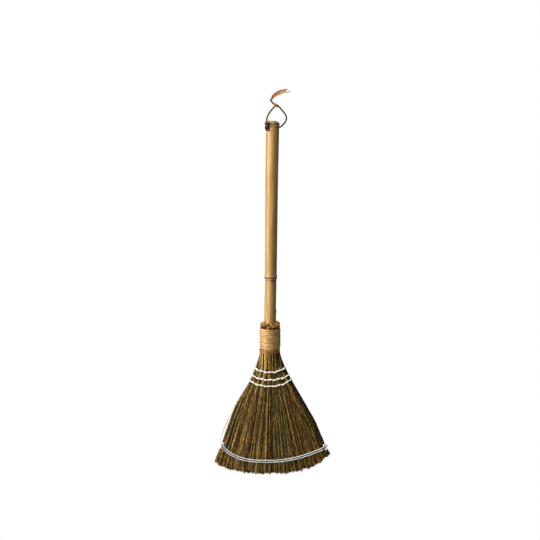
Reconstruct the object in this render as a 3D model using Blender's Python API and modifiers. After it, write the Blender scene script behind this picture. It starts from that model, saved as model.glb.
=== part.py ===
"""Hand broom: stitched straw tufts bound round a bamboo handle that hangs from its cord loop.

The origin is inside the top of the cord loop, where a peg carries the broom. +Z points up along the
handle and -Y is the front. Broom pieces are drawn in the broom's own frame, whose X and Y zero lie on
the axis of the binding and whose Z zero is the level of the lowest straw tips.
"""

import math
import random

import bmesh
import bpy
from mathutils import Matrix, Vector
from mathutils.kdtree import KDTree

MM = 0.001

# Clearances and other sizes that all pieces share
CLEARANCE = 0.3 * MM
CUT_OVERRUN = 2.0 * MM
FUSE_DEPTH = 1.5 * MM
WELD_DISTANCE = 0.002 * MM
SMOOTH_ANGLE = math.radians(40)
SEED = 7

# Broom as a whole
BROOM_LENGTH = 720.0 * MM
FAN_LENGTH = 253.5 * MM
HANDLE_BOW = 5.2 * MM

# Bamboo handle
HANDLE_TOP_RADIUS = 13.1 * MM
HANDLE_WAIST_RADIUS = 12.1 * MM
HANDLE_LOW_RADIUS = 11.5 * MM
HANDLE_NECK_RADIUS = 11.9 * MM
HANDLE_TOP_ROUND = 0.8 * MM
HANDLE_END_INSET = 1.0 * MM
TOP_NODE_DROP = 8.5 * MM
LOW_NODE_RISE = 99.0 * MM
UPPER_TAPER_SHARES = (0.2, 0.4, 0.6, 0.8)
LOWER_TAPER_SHARES = (0.4, 0.8)
NODE_RIDGE = 0.9 * MM
NODE_GROOVE = 0.3 * MM
NODE_REACH = 7.0 * MM
BORE_RADIUS = 7.6 * MM
DIAPHRAGM_THICKNESS = 3.0 * MM
TOP_RECESS_DEPTH = 4.0 * MM
BOW_SHARES = [(0.0, 0.0), (0.09, 0.04), (0.2, 0.2), (0.42, 0.36), (0.6, 0.5), (0.76, 0.66), (1.0, 1.0)]
HANDLE_RESOLUTION = 10
BORE_RESOLUTION = 4

# Cross hole and cord
HOLE_DROP = 14.0 * MM
HOLE_TURN = math.radians(48)
CORD_RADIUS = 1.6 * MM
HOLE_RADIUS = CORD_RADIUS + 2 * CLEARANCE
LOOP_HEIGHT = 40.5 * MM
LOOP_SIDE = 8.8 * MM
HITCH_RADIUS = 1.3 * MM
HITCH_SIDE = 3.5 * MM
TAIL_KNOT_RADIUS = 2.7 * MM
SIDE_KNOT_WIDTH = 9.0 * MM
SIDE_KNOT_HEIGHT = 16.0 * MM
SIDE_KNOT_DEPTH = 5.4 * MM
KNOT_TAIL_RADIUS = 1.3 * MM
FRAY_RADIUS = 2.4 * MM
PRONG_RADIUS = 1.5 * MM
FRAY_TIP_SHARE = 0.45
CORD_STEP = 3.5 * MM
FRAY_STEP = 7.0 * MM

# Neck: the straw butts between the handle and the binding
NECK_HEIGHT = 52.0 * MM
NECK_RADIUS = 19.8 * MM
NECK_STEPS = 3
NECK_MARGIN = 0.4 * MM
TUFTS_PER_SIDE = 7
BUTT_RADIUS = 1.75 * MM
BUTT_SIDES = 5
BUTT_MIN_HEIGHT = 6.0 * MM
BUTT_MAX_HEIGHT = 15.0 * MM
BUTT_LEAN = 0.6 * MM
BUTT_PLACE_SHARES = [(0.25, 0.72), (0.75, 0.72), (0.5, 0.24)]

# Fan of straw strands, by level from the neck down
SHOULDER_DROP = 28.5 * MM
SHOULDER_HALF_WIDTH = 30.0 * MM
SHOULDER_HALF_DEPTH = 15.5 * MM
SKIRT_DROP = 148.5 * MM
SKIRT_LEFT = 91.0 * MM
SKIRT_RIGHT = 95.5 * MM
SKIRT_HALF_DEPTH = 10.5 * MM
TIP_LEFT = 116.0 * MM
TIP_RIGHT = 123.0 * MM
TIP_HALF_DEPTH = 11.0 * MM
TIP_RISE_LEFT = 21.5 * MM
TIP_RISE_RIGHT = 40.0 * MM
TIP_CURVE = 2.6
EDGE_THINNING_SHARE = 0.4
OUTER_STRANDS = 12
STRAND_FILL_SHARES = [0.7, 0.74, 0.8, 0.72]
STRAND_DEPTH_SHARE = 1.3
INNER_LAYER_SHARE = 0.5
RAGGED_SHARE = 0.13

# Twine that stitches the fan
TWINE_RADIUS = 0.9 * MM
TIE_RADIUS = 0.55 * MM
TIE_GAP = 2 * (TIE_RADIUS + CLEARANCE)
STITCH_DROPS = [39.0 * MM, 54.6 * MM, 68.0 * MM]
STITCH_SAGS = [7.5 * MM, 7.5 * MM, 10.0 * MM]
STITCH_TILTS = [1.0 * MM, 1.0 * MM, 3.0 * MM]
THREAD_RADIUS = 0.75 * MM
THREAD_SPACING = 3.9 * MM
THREAD_RISE = 29.0 * MM
THREAD_SAG_LEFT = 33.0 * MM
THREAD_SAG_RIGHT = 30.0 * MM
TWINE_STATIONS = 12
TWINE_KNOT_RADIUS = 2.2 * MM
TWINE_TAIL_LENGTH = 7.0 * MM

# Binding, hoop and inner tie round the neck
BINDING_HEIGHT = 45.0 * MM
BINDING_THICKNESS = 0.8 * MM
BINDING_TURNS = 10
BINDING_TURN_GAP = 0.5 * MM
BINDING_POINTS = 24
HOOP_HEIGHT = 6.6 * MM
HOOP_THICKNESS = 1.3 * MM
HOOP_EDGE = 0.5 * MM
RING_STEPS = 24
WIRE_RADIUS = 0.6 * MM
WIRE_SIDES = 4
WIRE_RISE = 28.0 * MM

# Cord routes in millimetres from the origin, chosen by hand
RIGHT_ROUTE = [
    (0.6, 10.4, -40.5),
    (2.7, 12.7, -40.4),
    (5.6, 14.0, -39.4),
    (9.4, 12.9, -37.0),
    (13.8, 9.8, -32.4),
    (17.2, 7.0, -27.6),
    (18.7, 4.6, -22.6),
    (18.0, 3.0, -17.6),
    (14.0, 1.6, -11.0),
    (8.0, 0.6, -3.8),
    (3.6, 0.2, 0.9),
    (0.0, 0.0, 2.4),
    (-4.4, -0.2, 4.6),
    (-8.6, -0.4, 8.0),
    (-10.9, -0.4, 11.2),
]
LEFT_ROUTE = [
    (-20.5, -13.0, -29.1),
    (-20.6, -13.2, -25.5),
    (-19.6, -13.0, -20.4),
    (-17.6, -11.4, -15.4),
    (-14.6, -9.2, -10.4),
    (-11.0, -7.6, -5.6),
    (-7.6, -6.0, -1.8),
    (-5.0, -3.6, 1.1),
]
SIDE_KNOT_PLACE = (-20.5, -13.0, -37.4)
KNOT_TAIL_ROUTE = [(-20.0, -13.0, -41.0), (-19.4, -12.9, -44.4), (-19.0, -12.9, -47.4)]
TAIL_KNOT_PLACE = (-12.65, -0.4, 13.65)
FRAY_ROUTES = [
    [(-10.9, -0.4, 16.1), (-8.2, -0.4, 19.6), (-3.4, 0.0, 23.4), (8.0, 0.6, 29.4), (20.6, 1.4, 35.2)],
    [(-6.4, -0.7, 20.6), (-0.4, -1.4, 23.8), (11.0, -2.2, 27.4), (25.4, -2.4, 30.4)],
    [(-6.0, 0.2, 22.0), (-0.6, 1.6, 26.8), (5.4, 3.0, 30.6), (12.0, 4.0, 33.2)],
]

COLOURS = {
    "bamboo": ((0.52, 0.32, 0.11, 1.0), 0.35),
    "straw": ((0.24, 0.15, 0.03, 1.0), 0.7),
    "rattan": ((0.62, 0.39, 0.17, 1.0), 0.4),
    "hoop_cane": ((0.45, 0.2, 0.07, 1.0), 0.45),
    "white_twine": ((0.8, 0.78, 0.72, 1.0), 0.8),
    "brown_cord": ((0.1, 0.045, 0.02, 1.0), 0.85),
    "frayed_cord": ((0.5, 0.26, 0.1, 1.0), 0.85),
    "wire": ((0.45, 0.42, 0.38, 1.0), 0.4),
}


def clear_scene():
    for item in list(bpy.data.objects):
        bpy.data.objects.remove(item, do_unlink=True)


def collection_named(name):
    made = bpy.data.collections.new(name)
    bpy.context.scene.collection.children.link(made)
    return made


def material_named(name):
    colour, roughness = COLOURS[name]
    made = bpy.data.materials.get(name) or bpy.data.materials.new(name)
    made.use_nodes = True
    shader = made.node_tree.nodes["Principled BSDF"]
    shader.inputs["Base Color"].default_value = colour
    shader.inputs["Roughness"].default_value = roughness
    shader.inputs["Metallic"].default_value = 1.0 if name == "wire" else 0.0
    return made


def mesh_object(name, bm, collection):
    """Turns a bmesh into an object whose faces point outwards."""
    bmesh.ops.recalc_face_normals(bm, faces=bm.faces)
    mesh = bpy.data.meshes.new(name)
    bm.to_mesh(mesh)
    bm.free()
    item = bpy.data.objects.new(name, mesh)
    collection.objects.link(item)
    return item


def settled_bmesh(item):
    """The object's shape as its modifiers leave it, with its doubled points merged."""
    bpy.context.view_layer.update()
    evaluated = item.evaluated_get(bpy.context.evaluated_depsgraph_get())
    mesh = bpy.data.meshes.new_from_object(evaluated)
    bm = bmesh.new()
    bm.from_mesh(mesh)
    bpy.data.meshes.remove(mesh)
    bmesh.ops.remove_doubles(bm, verts=bm.verts, dist=WELD_DISTANCE)
    return bm


def bake(item):
    """Applies the object's modifiers."""
    bm = settled_bmesh(item)
    item.modifiers.clear()
    bm.to_mesh(item.data)
    bm.free()
    return item


def combine(item, other, operation):
    """Joins another object to this one, or cuts it out of this one, and removes the other."""
    modifier = item.modifiers.new(other.name, "BOOLEAN")
    modifier.operation = operation
    modifier.object = other
    modifier.solver = "EXACT"
    bake(item)
    bpy.data.objects.remove(other, do_unlink=True)
    return item


def finish(item, material, pivot, place):
    """Gives a piece its material, its smooth shading and its place on its body."""
    item.data.materials.clear()
    item.data.materials.append(material_named(material))
    item.data.shade_smooth()
    item.data.set_sharp_from_angle(angle=SMOOTH_ANGLE)
    item.parent = pivot
    item.location = place
    return item


def add_loft(bm, rings):
    """Skins closed rings of equally many points and caps both ends."""
    loops = [[bm.verts.new(point) for point in ring] for ring in rings]
    for lower, upper in zip(loops, loops[1:]):
        for i in range(len(lower)):
            j = (i + 1) % len(lower)
            bm.faces.new((lower[i], lower[j], upper[j], upper[i]))
    bm.faces.new(loops[0])
    bm.faces.new(loops[-1])


def tube(name, points, radius, collection, resolution=2, shares=None, cyclic=False, section=None):
    """A tube, or a strip of the given section, along the points, as a mesh."""
    curve = bpy.data.curves.new(name, "CURVE")
    curve.dimensions = "3D"
    curve.use_fill_caps = True
    curve.bevel_resolution = resolution
    if section:
        curve.bevel_mode = "OBJECT"
        curve.bevel_object = section
        curve.twist_mode = "Z_UP"
    else:
        curve.bevel_depth = radius
    spline = curve.splines.new("POLY")
    spline.points.add(len(points) - 1)
    spline.use_cyclic_u = cyclic
    for i, point in enumerate(points):
        spline.points[i].co = (*point, 1.0)
        spline.points[i].radius = shares[i] if shares else 1.0
    guide = bpy.data.objects.new(name + "_path", curve)
    collection.objects.link(guide)
    item = mesh_object(name, settled_bmesh(guide), collection)
    item.matrix_world = guide.matrix_world
    bpy.data.objects.remove(guide, do_unlink=True)
    return item


def between(a, b, share):
    return a + (b - a) * share


def from_table(table, share):
    """Reads a table of (place share, value share) pairs with straight runs between them."""
    for (low, low_value), (high, high_value) in zip(table, table[1:]):
        if share <= high:
            return between(low_value, high_value, max(0.0, share - low) / (high - low))
    return table[-1][1]


def smooth_route(route, step):
    """Points about a step apart on a smooth curve through a hand-chosen route."""
    places = [Vector(point) for point in route]
    places = [2 * places[0] - places[1], *places, 2 * places[-1] - places[-2]]
    fine = []
    for a, b, c, d in zip(places, places[1:], places[2:], places[3:]):
        pieces = max(1, round((c - b).length / step))
        for k in range(pieces):
            t = k / pieces
            fine.append(0.5 * (2 * b + (c - a) * t + (2 * a - 5 * b + 4 * c - d) * t**2
                               + (3 * b - a - 3 * c + d) * t**3))
    return fine + [places[-2]]


def in_metres(route):
    return [Vector(point) * MM for point in route]


# Places that several pieces share, in the broom's own frame
NECK_BOTTOM = FAN_LENGTH
NECK_TOP = NECK_BOTTOM + NECK_HEIGHT
HANDLE_BOTTOM = NECK_BOTTOM + HANDLE_END_INSET
HANDLE_TOP = BROOM_LENGTH
BINDING_BOTTOM = NECK_BOTTOM + HOOP_HEIGHT + CLEARANCE
HOLE_HEIGHT = HANDLE_TOP - HOLE_DROP
TUFT_ANGLE = math.pi / TUFTS_PER_SIDE
NECK_FACET = math.cos(TUFT_ANGLE / NECK_STEPS / 2)
NECK_INNER_RADIUS = (HANDLE_NECK_RADIUS + CLEARANCE) / NECK_FACET
SLEEVE_RADIUS = (NECK_RADIUS + CLEARANCE) / math.cos(math.pi / BINDING_POINTS)


def bow(height):
    """How far the handle's centre lies to the right of the binding's axis at a height."""
    span = HANDLE_TOP - NECK_TOP
    return HANDLE_BOW * from_table(BOW_SHARES, max(0.0, height - NECK_TOP) / span)


def node_rings(height, above, below):
    """Heights and radii of the ridge, scar and swell at one bamboo node, from the top down."""
    return [
        (height + NODE_REACH, above),
        (height + NODE_RIDGE * 2, above + NODE_RIDGE),
        (height + NODE_GROOVE, between(above, below, 0.5) + NODE_GROOVE),
        (height - NODE_RIDGE, between(above, below, 0.5) + NODE_RIDGE),
        (height - NODE_REACH, below),
    ]


def handle_rings():
    """Heights and radii down the whole handle."""
    top_node = HANDLE_TOP - TOP_NODE_DROP
    low_node = NECK_TOP + LOW_NODE_RISE
    upper = node_rings(top_node, HANDLE_TOP_RADIUS, HANDLE_TOP_RADIUS)[1:]
    lower = node_rings(low_node, HANDLE_WAIST_RADIUS, HANDLE_LOW_RADIUS)
    rings = [
        (HANDLE_TOP, HANDLE_TOP_RADIUS - HANDLE_TOP_ROUND),
        (HANDLE_TOP - HANDLE_TOP_ROUND, HANDLE_TOP_RADIUS),
        *upper,
    ]
    start, end = upper[-1][0], lower[0][0]
    for share in UPPER_TAPER_SHARES:
        rings.append((between(start, end, share), between(HANDLE_TOP_RADIUS, HANDLE_WAIST_RADIUS, share)))
    rings += lower
    for share in LOWER_TAPER_SHARES:
        height = between(lower[-1][0], NECK_TOP, share)
        rings.append((height, between(HANDLE_LOW_RADIUS, HANDLE_NECK_RADIUS, share)))
    rings.append((NECK_TOP, HANDLE_NECK_RADIUS))
    rings.append((HANDLE_BOTTOM, HANDLE_NECK_RADIUS))
    return rings


def bore_cutter(name, high, low, collection):
    """A bore that follows the handle's bow between two heights."""
    count = max(2, math.ceil((high - low) / (HANDLE_TOP - NECK_TOP) * len(BOW_SHARES)))
    heights = [between(high, low, i / count) for i in range(count + 1)]
    points = [Vector((bow(min(max(h, low), high)), 0, h)) for h in heights]
    return tube(name, points, BORE_RADIUS, collection, resolution=BORE_RESOLUTION)


def make_handle(parts, cutters):
    rings = handle_rings()
    points = [Vector((bow(height), 0, height)) for height, _ in rings]
    shares = [radius / HANDLE_TOP_RADIUS for _, radius in rings]
    handle = tube("bamboo_handle", points, HANDLE_TOP_RADIUS, parts,
                  resolution=HANDLE_RESOLUTION, shares=shares)
    along = Vector((math.cos(HOLE_TURN), math.sin(HOLE_TURN), 0))
    centre = Vector((bow(HOLE_HEIGHT), 0, HOLE_HEIGHT))
    reach = HANDLE_TOP_RADIUS + NODE_RIDGE + CUT_OVERRUN
    hole = tube("cord_hole", [centre - along * reach, centre + along * reach], HOLE_RADIUS, cutters,
                resolution=BORE_RESOLUTION)
    combine(handle, hole, "DIFFERENCE")
    low_node = NECK_TOP + LOW_NODE_RISE
    spans = {
        "top_recess": (HANDLE_TOP + CUT_OVERRUN, HANDLE_TOP - TOP_RECESS_DEPTH),
        "upper_bore": (HANDLE_TOP - TOP_RECESS_DEPTH - DIAPHRAGM_THICKNESS, low_node),
        "lower_bore": (low_node - DIAPHRAGM_THICKNESS, HANDLE_BOTTOM - CUT_OVERRUN),
    }
    for name, (high, low) in spans.items():
        combine(handle, bore_cutter(name, high, low, cutters), "DIFFERENCE")
    return handle


def tip_rise(s):
    """How far the straw ends lie above the lowest ones, for a place from -1, left, to 1, right."""
    rise = TIP_RISE_LEFT if s < 0 else TIP_RISE_RIGHT
    return rise * abs(s) ** TIP_CURVE


def neck_point(side, s, q, height):
    """A place in the neck: s runs round it from left to right and q from the handle outwards."""
    inner = NECK_INNER_RADIUS + NECK_MARGIN
    outer = NECK_RADIUS * NECK_FACET - NECK_MARGIN
    radius = between(inner, outer, q)
    turn = math.pi * (s + 1) / 2
    return Vector((-radius * math.cos(turn), side * radius * math.sin(turn), height))


def flat_point(side, s, q, left, right, half_depth, height):
    """A place in the flattened fan: s runs across it and q from its middle plane outwards."""
    across = s * (left if s < 0 else right)
    return Vector((across, side * q * half_depth * (1 - EDGE_THINNING_SHARE * s * s), height))


def fan_levels(side, s, q):
    """One straw line through the fan, from inside the neck to its full-length tip."""
    return [
        neck_point(side, s, q, NECK_BOTTOM + FUSE_DEPTH),
        flat_point(side, s, q, SHOULDER_HALF_WIDTH, SHOULDER_HALF_WIDTH, SHOULDER_HALF_DEPTH,
                   NECK_BOTTOM - SHOULDER_DROP),
        flat_point(side, s, q, SKIRT_LEFT, SKIRT_RIGHT, SKIRT_HALF_DEPTH, NECK_BOTTOM - SKIRT_DROP),
        flat_point(side, s, q, TIP_LEFT, TIP_RIGHT, TIP_HALF_DEPTH, tip_rise(s)),
    ]


def fan_point(side, s, q, height):
    """Where the straw line of one place crosses a height."""
    levels = fan_levels(side, s, q)
    for upper, lower in zip(levels, levels[1:]):
        if height >= lower.z:
            return upper.lerp(lower, (upper.z - height) / (upper.z - lower.z))
    return levels[-1]


def level_half_widths():
    """Half the fan's width at each level, on the narrower side."""
    return [math.pi * NECK_INNER_RADIUS / 2, SHOULDER_HALF_WIDTH, SKIRT_LEFT, TIP_LEFT]


def strand_rings(side, centre, half_pitch, column_share, layer, cut):
    """Three-sided rings down one strand, kept clear of the gap beside its tuft."""
    rings = []
    for level, half_width in enumerate(level_half_widths()):
        squeeze = 1 - (TIE_GAP if level else CLEARANCE) / (half_pitch * 2 * half_width)
        half = half_pitch / OUTER_STRANDS * squeeze * STRAND_FILL_SHARES[level] * half_width
        back = side * half * 2 * STRAND_DEPTH_SHARE
        middle = fan_levels(side, centre + column_share * half_pitch * squeeze, layer)[level]
        if level:
            middle.y -= back / 2
        corners = ((-half, back / 2), (half, back / 2), (0, -back / 2))
        rings.append([middle + Vector((x, y, 0)) for x, y in corners])
    rings[-1] = [a.lerp(b, 1 - cut) for a, b in zip(rings[-2], rings[-1])]
    return rings


def add_strands(bm, side, centre, half_pitch, chance):
    """The outer and inner layers of one tuft."""
    for layer, count in ((1, OUTER_STRANDS), (INNER_LAYER_SHARE, OUTER_STRANDS - 1)):
        for i in range(count):
            column_share = (2 * i + 1 - count) / OUTER_STRANDS
            cut = chance.random() ** 2 * RAGGED_SHARE
            add_loft(bm, strand_rings(side, centre, half_pitch, column_share, layer, cut))


def add_butts(bm, side, centre, half_pitch, chance):
    """The cut stalk ends that stand out above the binding."""
    for across, depth in BUTT_PLACE_SHARES:
        s = centre + (across * 2 - 1) * half_pitch
        rise = between(BUTT_MIN_HEIGHT, BUTT_MAX_HEIGHT, chance.random())
        foot = neck_point(side, s, depth, NECK_TOP - FUSE_DEPTH)
        outwards = Vector((foot.x, foot.y, 0)).normalized()
        head = foot + outwards * BUTT_LEAN * depth + Vector((0, 0, FUSE_DEPTH + rise))
        turns = [i * math.tau / BUTT_SIDES for i in range(BUTT_SIDES)]
        rim = [Vector((math.cos(t), math.sin(t), 0)) * BUTT_RADIUS for t in turns]
        add_loft(bm, [[foot + point for point in rim], [head + point for point in rim]])


def add_neck_sector(bm, side, centre, half_pitch):
    """One tuft's share of the neck, with a groove for the inner tie."""
    wire_room = WIRE_RADIUS + CLEARANCE
    wire_height = NECK_BOTTOM + WIRE_RISE
    groove_radius = wire_ring_radius() - wire_room / NECK_FACET
    profile = [
        (NECK_INNER_RADIUS, NECK_BOTTOM),
        (NECK_RADIUS, NECK_BOTTOM),
        (NECK_RADIUS, wire_height - wire_room),
        (groove_radius, wire_height - wire_room),
        (groove_radius, wire_height + wire_room),
        (NECK_RADIUS, wire_height + wire_room),
        (NECK_RADIUS, NECK_TOP),
        (NECK_INNER_RADIUS, NECK_TOP),
    ]
    rings = []
    for i in range(NECK_STEPS + 1):
        lean = 2 * i / NECK_STEPS - 1
        turn = math.pi * (centre + lean * half_pitch + 1) / 2
        ring = []
        for radius, height in profile:
            angle = turn
            if abs(lean) == 1:
                angle -= lean * CLEARANCE / 2 / radius
            ring.append(Vector((-radius * math.cos(angle), side * radius * math.sin(angle), height)))
        rings.append(ring)
    add_loft(bm, rings)


def make_tuft(side_name, side, index, parts, cutters, chance):
    half_pitch = 1 / TUFTS_PER_SIDE
    centre = (2 * index + 1) * half_pitch - 1
    name = f"straw_tuft_{side_name}_{index + 1}"
    neck = bmesh.new()
    add_neck_sector(neck, side, centre, half_pitch)
    tuft = mesh_object(name, neck, parts)
    straws = bmesh.new()
    add_strands(straws, side, centre, half_pitch, chance)
    add_butts(straws, side, centre, half_pitch, chance)
    return combine(tuft, mesh_object(name + "_straws", straws, cutters), "UNION")


def wire_ring_radius():
    """The inner tie lies flush with the neck, under the binding."""
    return NECK_RADIUS * NECK_FACET - WIRE_RADIUS


def make_inner_tie(parts):
    bpy.ops.mesh.primitive_torus_add(
        major_segments=RING_STEPS, minor_segments=WIRE_SIDES, major_radius=wire_ring_radius(),
        minor_radius=WIRE_RADIUS, location=(0, 0, 0))
    tie = bpy.context.active_object
    tie.name = "inner_tie_wire"
    for home in list(tie.users_collection):
        home.objects.unlink(tie)
    parts.objects.link(tie)
    tie.data.transform(Matrix.Translation((0, 0, NECK_BOTTOM + WIRE_RISE)))
    return tie


def make_hoop(parts):
    """A cane hoop with eased edges, turned from its profile."""
    inner, outer = SLEEVE_RADIUS, SLEEVE_RADIUS + HOOP_THICKNESS
    low, high = NECK_BOTTOM, NECK_BOTTOM + HOOP_HEIGHT
    profile = [
        (inner, high), (outer - HOOP_EDGE, high), (outer, high - HOOP_EDGE),
        (outer, low + HOOP_EDGE), (outer - HOOP_EDGE, low), (inner, low),
    ]
    mesh = bpy.data.meshes.new("cane_hoop")
    count = len(profile)
    mesh.from_pydata([(x, 0, z) for x, z in profile], [(i, (i + 1) % count) for i in range(count)], [])
    hoop = bpy.data.objects.new("cane_hoop", mesh)
    parts.objects.link(hoop)
    turning = hoop.modifiers.new("turning", "SCREW")
    turning.axis = "Z"
    turning.steps = RING_STEPS
    turning.render_steps = RING_STEPS
    turning.use_merge_vertices = True
    turning.merge_threshold = WELD_DISTANCE
    return bake(hoop)


def winding_gap(item, sides):
    """The least distance between points of one turn and points of the others."""
    places = [vertex.co for vertex in item.data.vertices]
    tree = KDTree(len(places))
    for i, place in enumerate(places):
        tree.insert(place, i)
    tree.balance()
    half_turn = sides * BINDING_POINTS // 2
    best = BINDING_HEIGHT
    for i, place in enumerate(places):
        for _, j, distance in tree.find_range(place, BINDING_HEIGHT / BINDING_TURNS):
            if abs(i - j) > half_turn:
                best = min(best, distance)
    return best


def make_binding(parts, cutters):
    """The flat rattan strip, wound as one unbroken helix."""
    pitch = (BINDING_HEIGHT + BINDING_TURN_GAP) / (BINDING_TURNS + 1)
    width = pitch - BINDING_TURN_GAP
    half = (BINDING_THICKNESS / 2, width / 2)
    section_curve = bpy.data.curves.new("strip_section", "CURVE")
    spline = section_curve.splines.new("POLY")
    corners = [(-half[0], -half[1]), (half[0], -half[1]), half, (-half[0], half[1])]
    spline.points.add(len(corners) - 1)
    spline.use_cyclic_u = True
    for point, corner in zip(spline.points, corners):
        point.co = (*corner, 0, 1)
    section = bpy.data.objects.new("strip_section", section_curve)
    cutters.objects.link(section)
    radius = SLEEVE_RADIUS + BINDING_THICKNESS / 2
    points = []
    for i in range(BINDING_TURNS * BINDING_POINTS + 1):
        turn = i * math.tau / BINDING_POINTS
        height = BINDING_BOTTOM + width / 2 + pitch * i / BINDING_POINTS
        points.append(Vector((radius * math.cos(turn), radius * math.sin(turn), height)))
    binding = tube("rattan_binding", points, radius, parts, section=section)
    bpy.data.objects.remove(section, do_unlink=True)
    print(f"rattan_binding: least gap to itself {winding_gap(binding, len(corners)) / MM:.2f} mm")
    return binding


def twine_height(s, middle, left, right):
    """The height of a sagging row at a place across the fan, from its middle and its two ends."""
    return middle + (left if s < 0 else right) * s * s


def twine_path(height_at, offset):
    """A closed path round the fan that stands off its outermost straws."""
    places = [2 * i / TWINE_STATIONS - 1 for i in range(TWINE_STATIONS + 1)]
    outermost = 1 - 1 / OUTER_STRANDS / TUFTS_PER_SIDE
    places[0], places[-1] = -outermost, outermost
    path = []
    for side, run in ((-1, places), (1, places[::-1])):
        for s in run:
            path.append(fan_point(side, s, 1, height_at(s)) + Vector((0, side * offset, 0)))
        edge = 1 if side < 0 else -1
        corner = fan_point(side, edge, 1, height_at(edge))
        out = Vector((edge * offset, 0, 0))
        path.append(corner + out + Vector((0, side * offset / 2, 0)))
        path.append(Vector((corner.x, -corner.y, corner.z)) + out - Vector((0, side * offset / 2, 0)))
    return path


def make_twine(name, radius, height_at, tie_places, parts, cutters):
    """One row of twine: a run round the fan and its ties through the gaps between tufts."""
    offset = radius + 2 * CLEARANCE
    row = tube(name, twine_path(height_at, offset), radius, parts, resolution=1, cyclic=True)
    for place in tie_places:
        s = 2 * place / TUFTS_PER_SIDE - 1
        front = fan_point(-1, s, 1, height_at(s)) - Vector((0, offset, 0))
        back = Vector((front.x, -front.y, front.z))
        tie = tube(f"{name}_tie", [front, back], TIE_RADIUS, cutters, resolution=1)
        combine(row, tie, "UNION")
    return row


def make_stitch_rows(parts, cutters):
    gaps = range(1, TUFTS_PER_SIDE)
    rows = []
    for i, (drop, sag, tilt) in enumerate(zip(STITCH_DROPS, STITCH_SAGS, STITCH_TILTS)):
        def height_at(s, drop=drop, sag=sag, tilt=tilt):
            return twine_height(s, NECK_BOTTOM - drop, sag, sag + tilt)
        rows.append(make_twine(f"stitch_row_{i + 1}", TWINE_RADIUS, height_at, gaps, parts, cutters))
    return rows


def thread_height(s, level):
    """The height of one of the two hem threads; level is 1 for the upper and -1 for the lower."""
    middle = THREAD_RISE + level * THREAD_SPACING / 2
    return twine_height(s, middle, THREAD_SAG_LEFT, THREAD_SAG_RIGHT)


def make_hem_threads(parts, cutters):
    threads = []
    for name, level, start in (("hem_thread_upper", 1, 1), ("hem_thread_lower", -1, 2)):
        def height_at(s, level=level):
            return thread_height(s, level)
        gaps = range(start, TUFTS_PER_SIDE, 2)
        threads.append(make_twine(name, THREAD_RADIUS, height_at, gaps, parts, cutters))
    return threads


def make_hem_knot(name, edge, parts, cutters):
    """The knot of both hem threads at one edge of the fan, seated on the lower one, with its cut tails."""
    corner = fan_point(-1, edge, 1, thread_height(edge, -1))
    seat = TWINE_KNOT_RADIUS + THREAD_RADIUS + CLEARANCE
    rise = THREAD_SPACING / 2
    reach = THREAD_RADIUS + 2 * CLEARANCE + math.sqrt(seat * seat - rise * rise)
    centre = Vector((corner.x + edge * reach, 0, corner.z + rise))
    ball = bmesh.new()
    bmesh.ops.create_uvsphere(ball, u_segments=8, v_segments=6, radius=TWINE_KNOT_RADIUS,
                              matrix=Matrix.Translation(centre))
    knot = mesh_object(name, ball, parts)
    for fall in (-1, 1):
        end = centre + Vector((edge, 0, fall)).normalized() * TWINE_TAIL_LENGTH
        combine(knot, tube(name + "_tail", [centre, end], TIE_RADIUS, cutters, resolution=1), "UNION")
    return knot


def make_ellipsoid(name, centre, size, parts, turn=0.0):
    """A round knot of the given full sizes, turned about the vertical."""
    ball = bmesh.new()
    bmesh.ops.create_uvsphere(ball, u_segments=12, v_segments=8, radius=1)
    scale = Matrix.Diagonal((*(full / 2 for full in size), 1))
    bmesh.ops.transform(ball, matrix=Matrix.Translation(centre) @ Matrix.Rotation(turn, 4, "Z") @ scale,
                        verts=ball.verts)
    return mesh_object(name, ball, parts)


def make_hitch(parts, route):
    """The half hitch by which the left strand grips the right one."""
    bpy.ops.mesh.primitive_torus_add(
        major_segments=16, minor_segments=8, minor_radius=HITCH_RADIUS, location=(0, 0, 0),
        major_radius=CORD_RADIUS + CLEARANCE + HITCH_RADIUS)
    hitch = bpy.context.active_object
    hitch.name = "loop_hitch"
    for home in list(hitch.users_collection):
        home.objects.unlink(hitch)
    parts.objects.link(hitch)
    seat = min(range(len(route)), key=lambda i: (route[i] - Vector((-HITCH_SIDE, 0, HITCH_SIDE))).length)
    along = (route[seat + 1] - route[seat - 1]).normalized()
    turn = along.to_track_quat("Z", "Y").to_matrix().to_4x4()
    hitch.data.transform(Matrix.Translation(route[seat]) @ turn)
    return hitch


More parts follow.
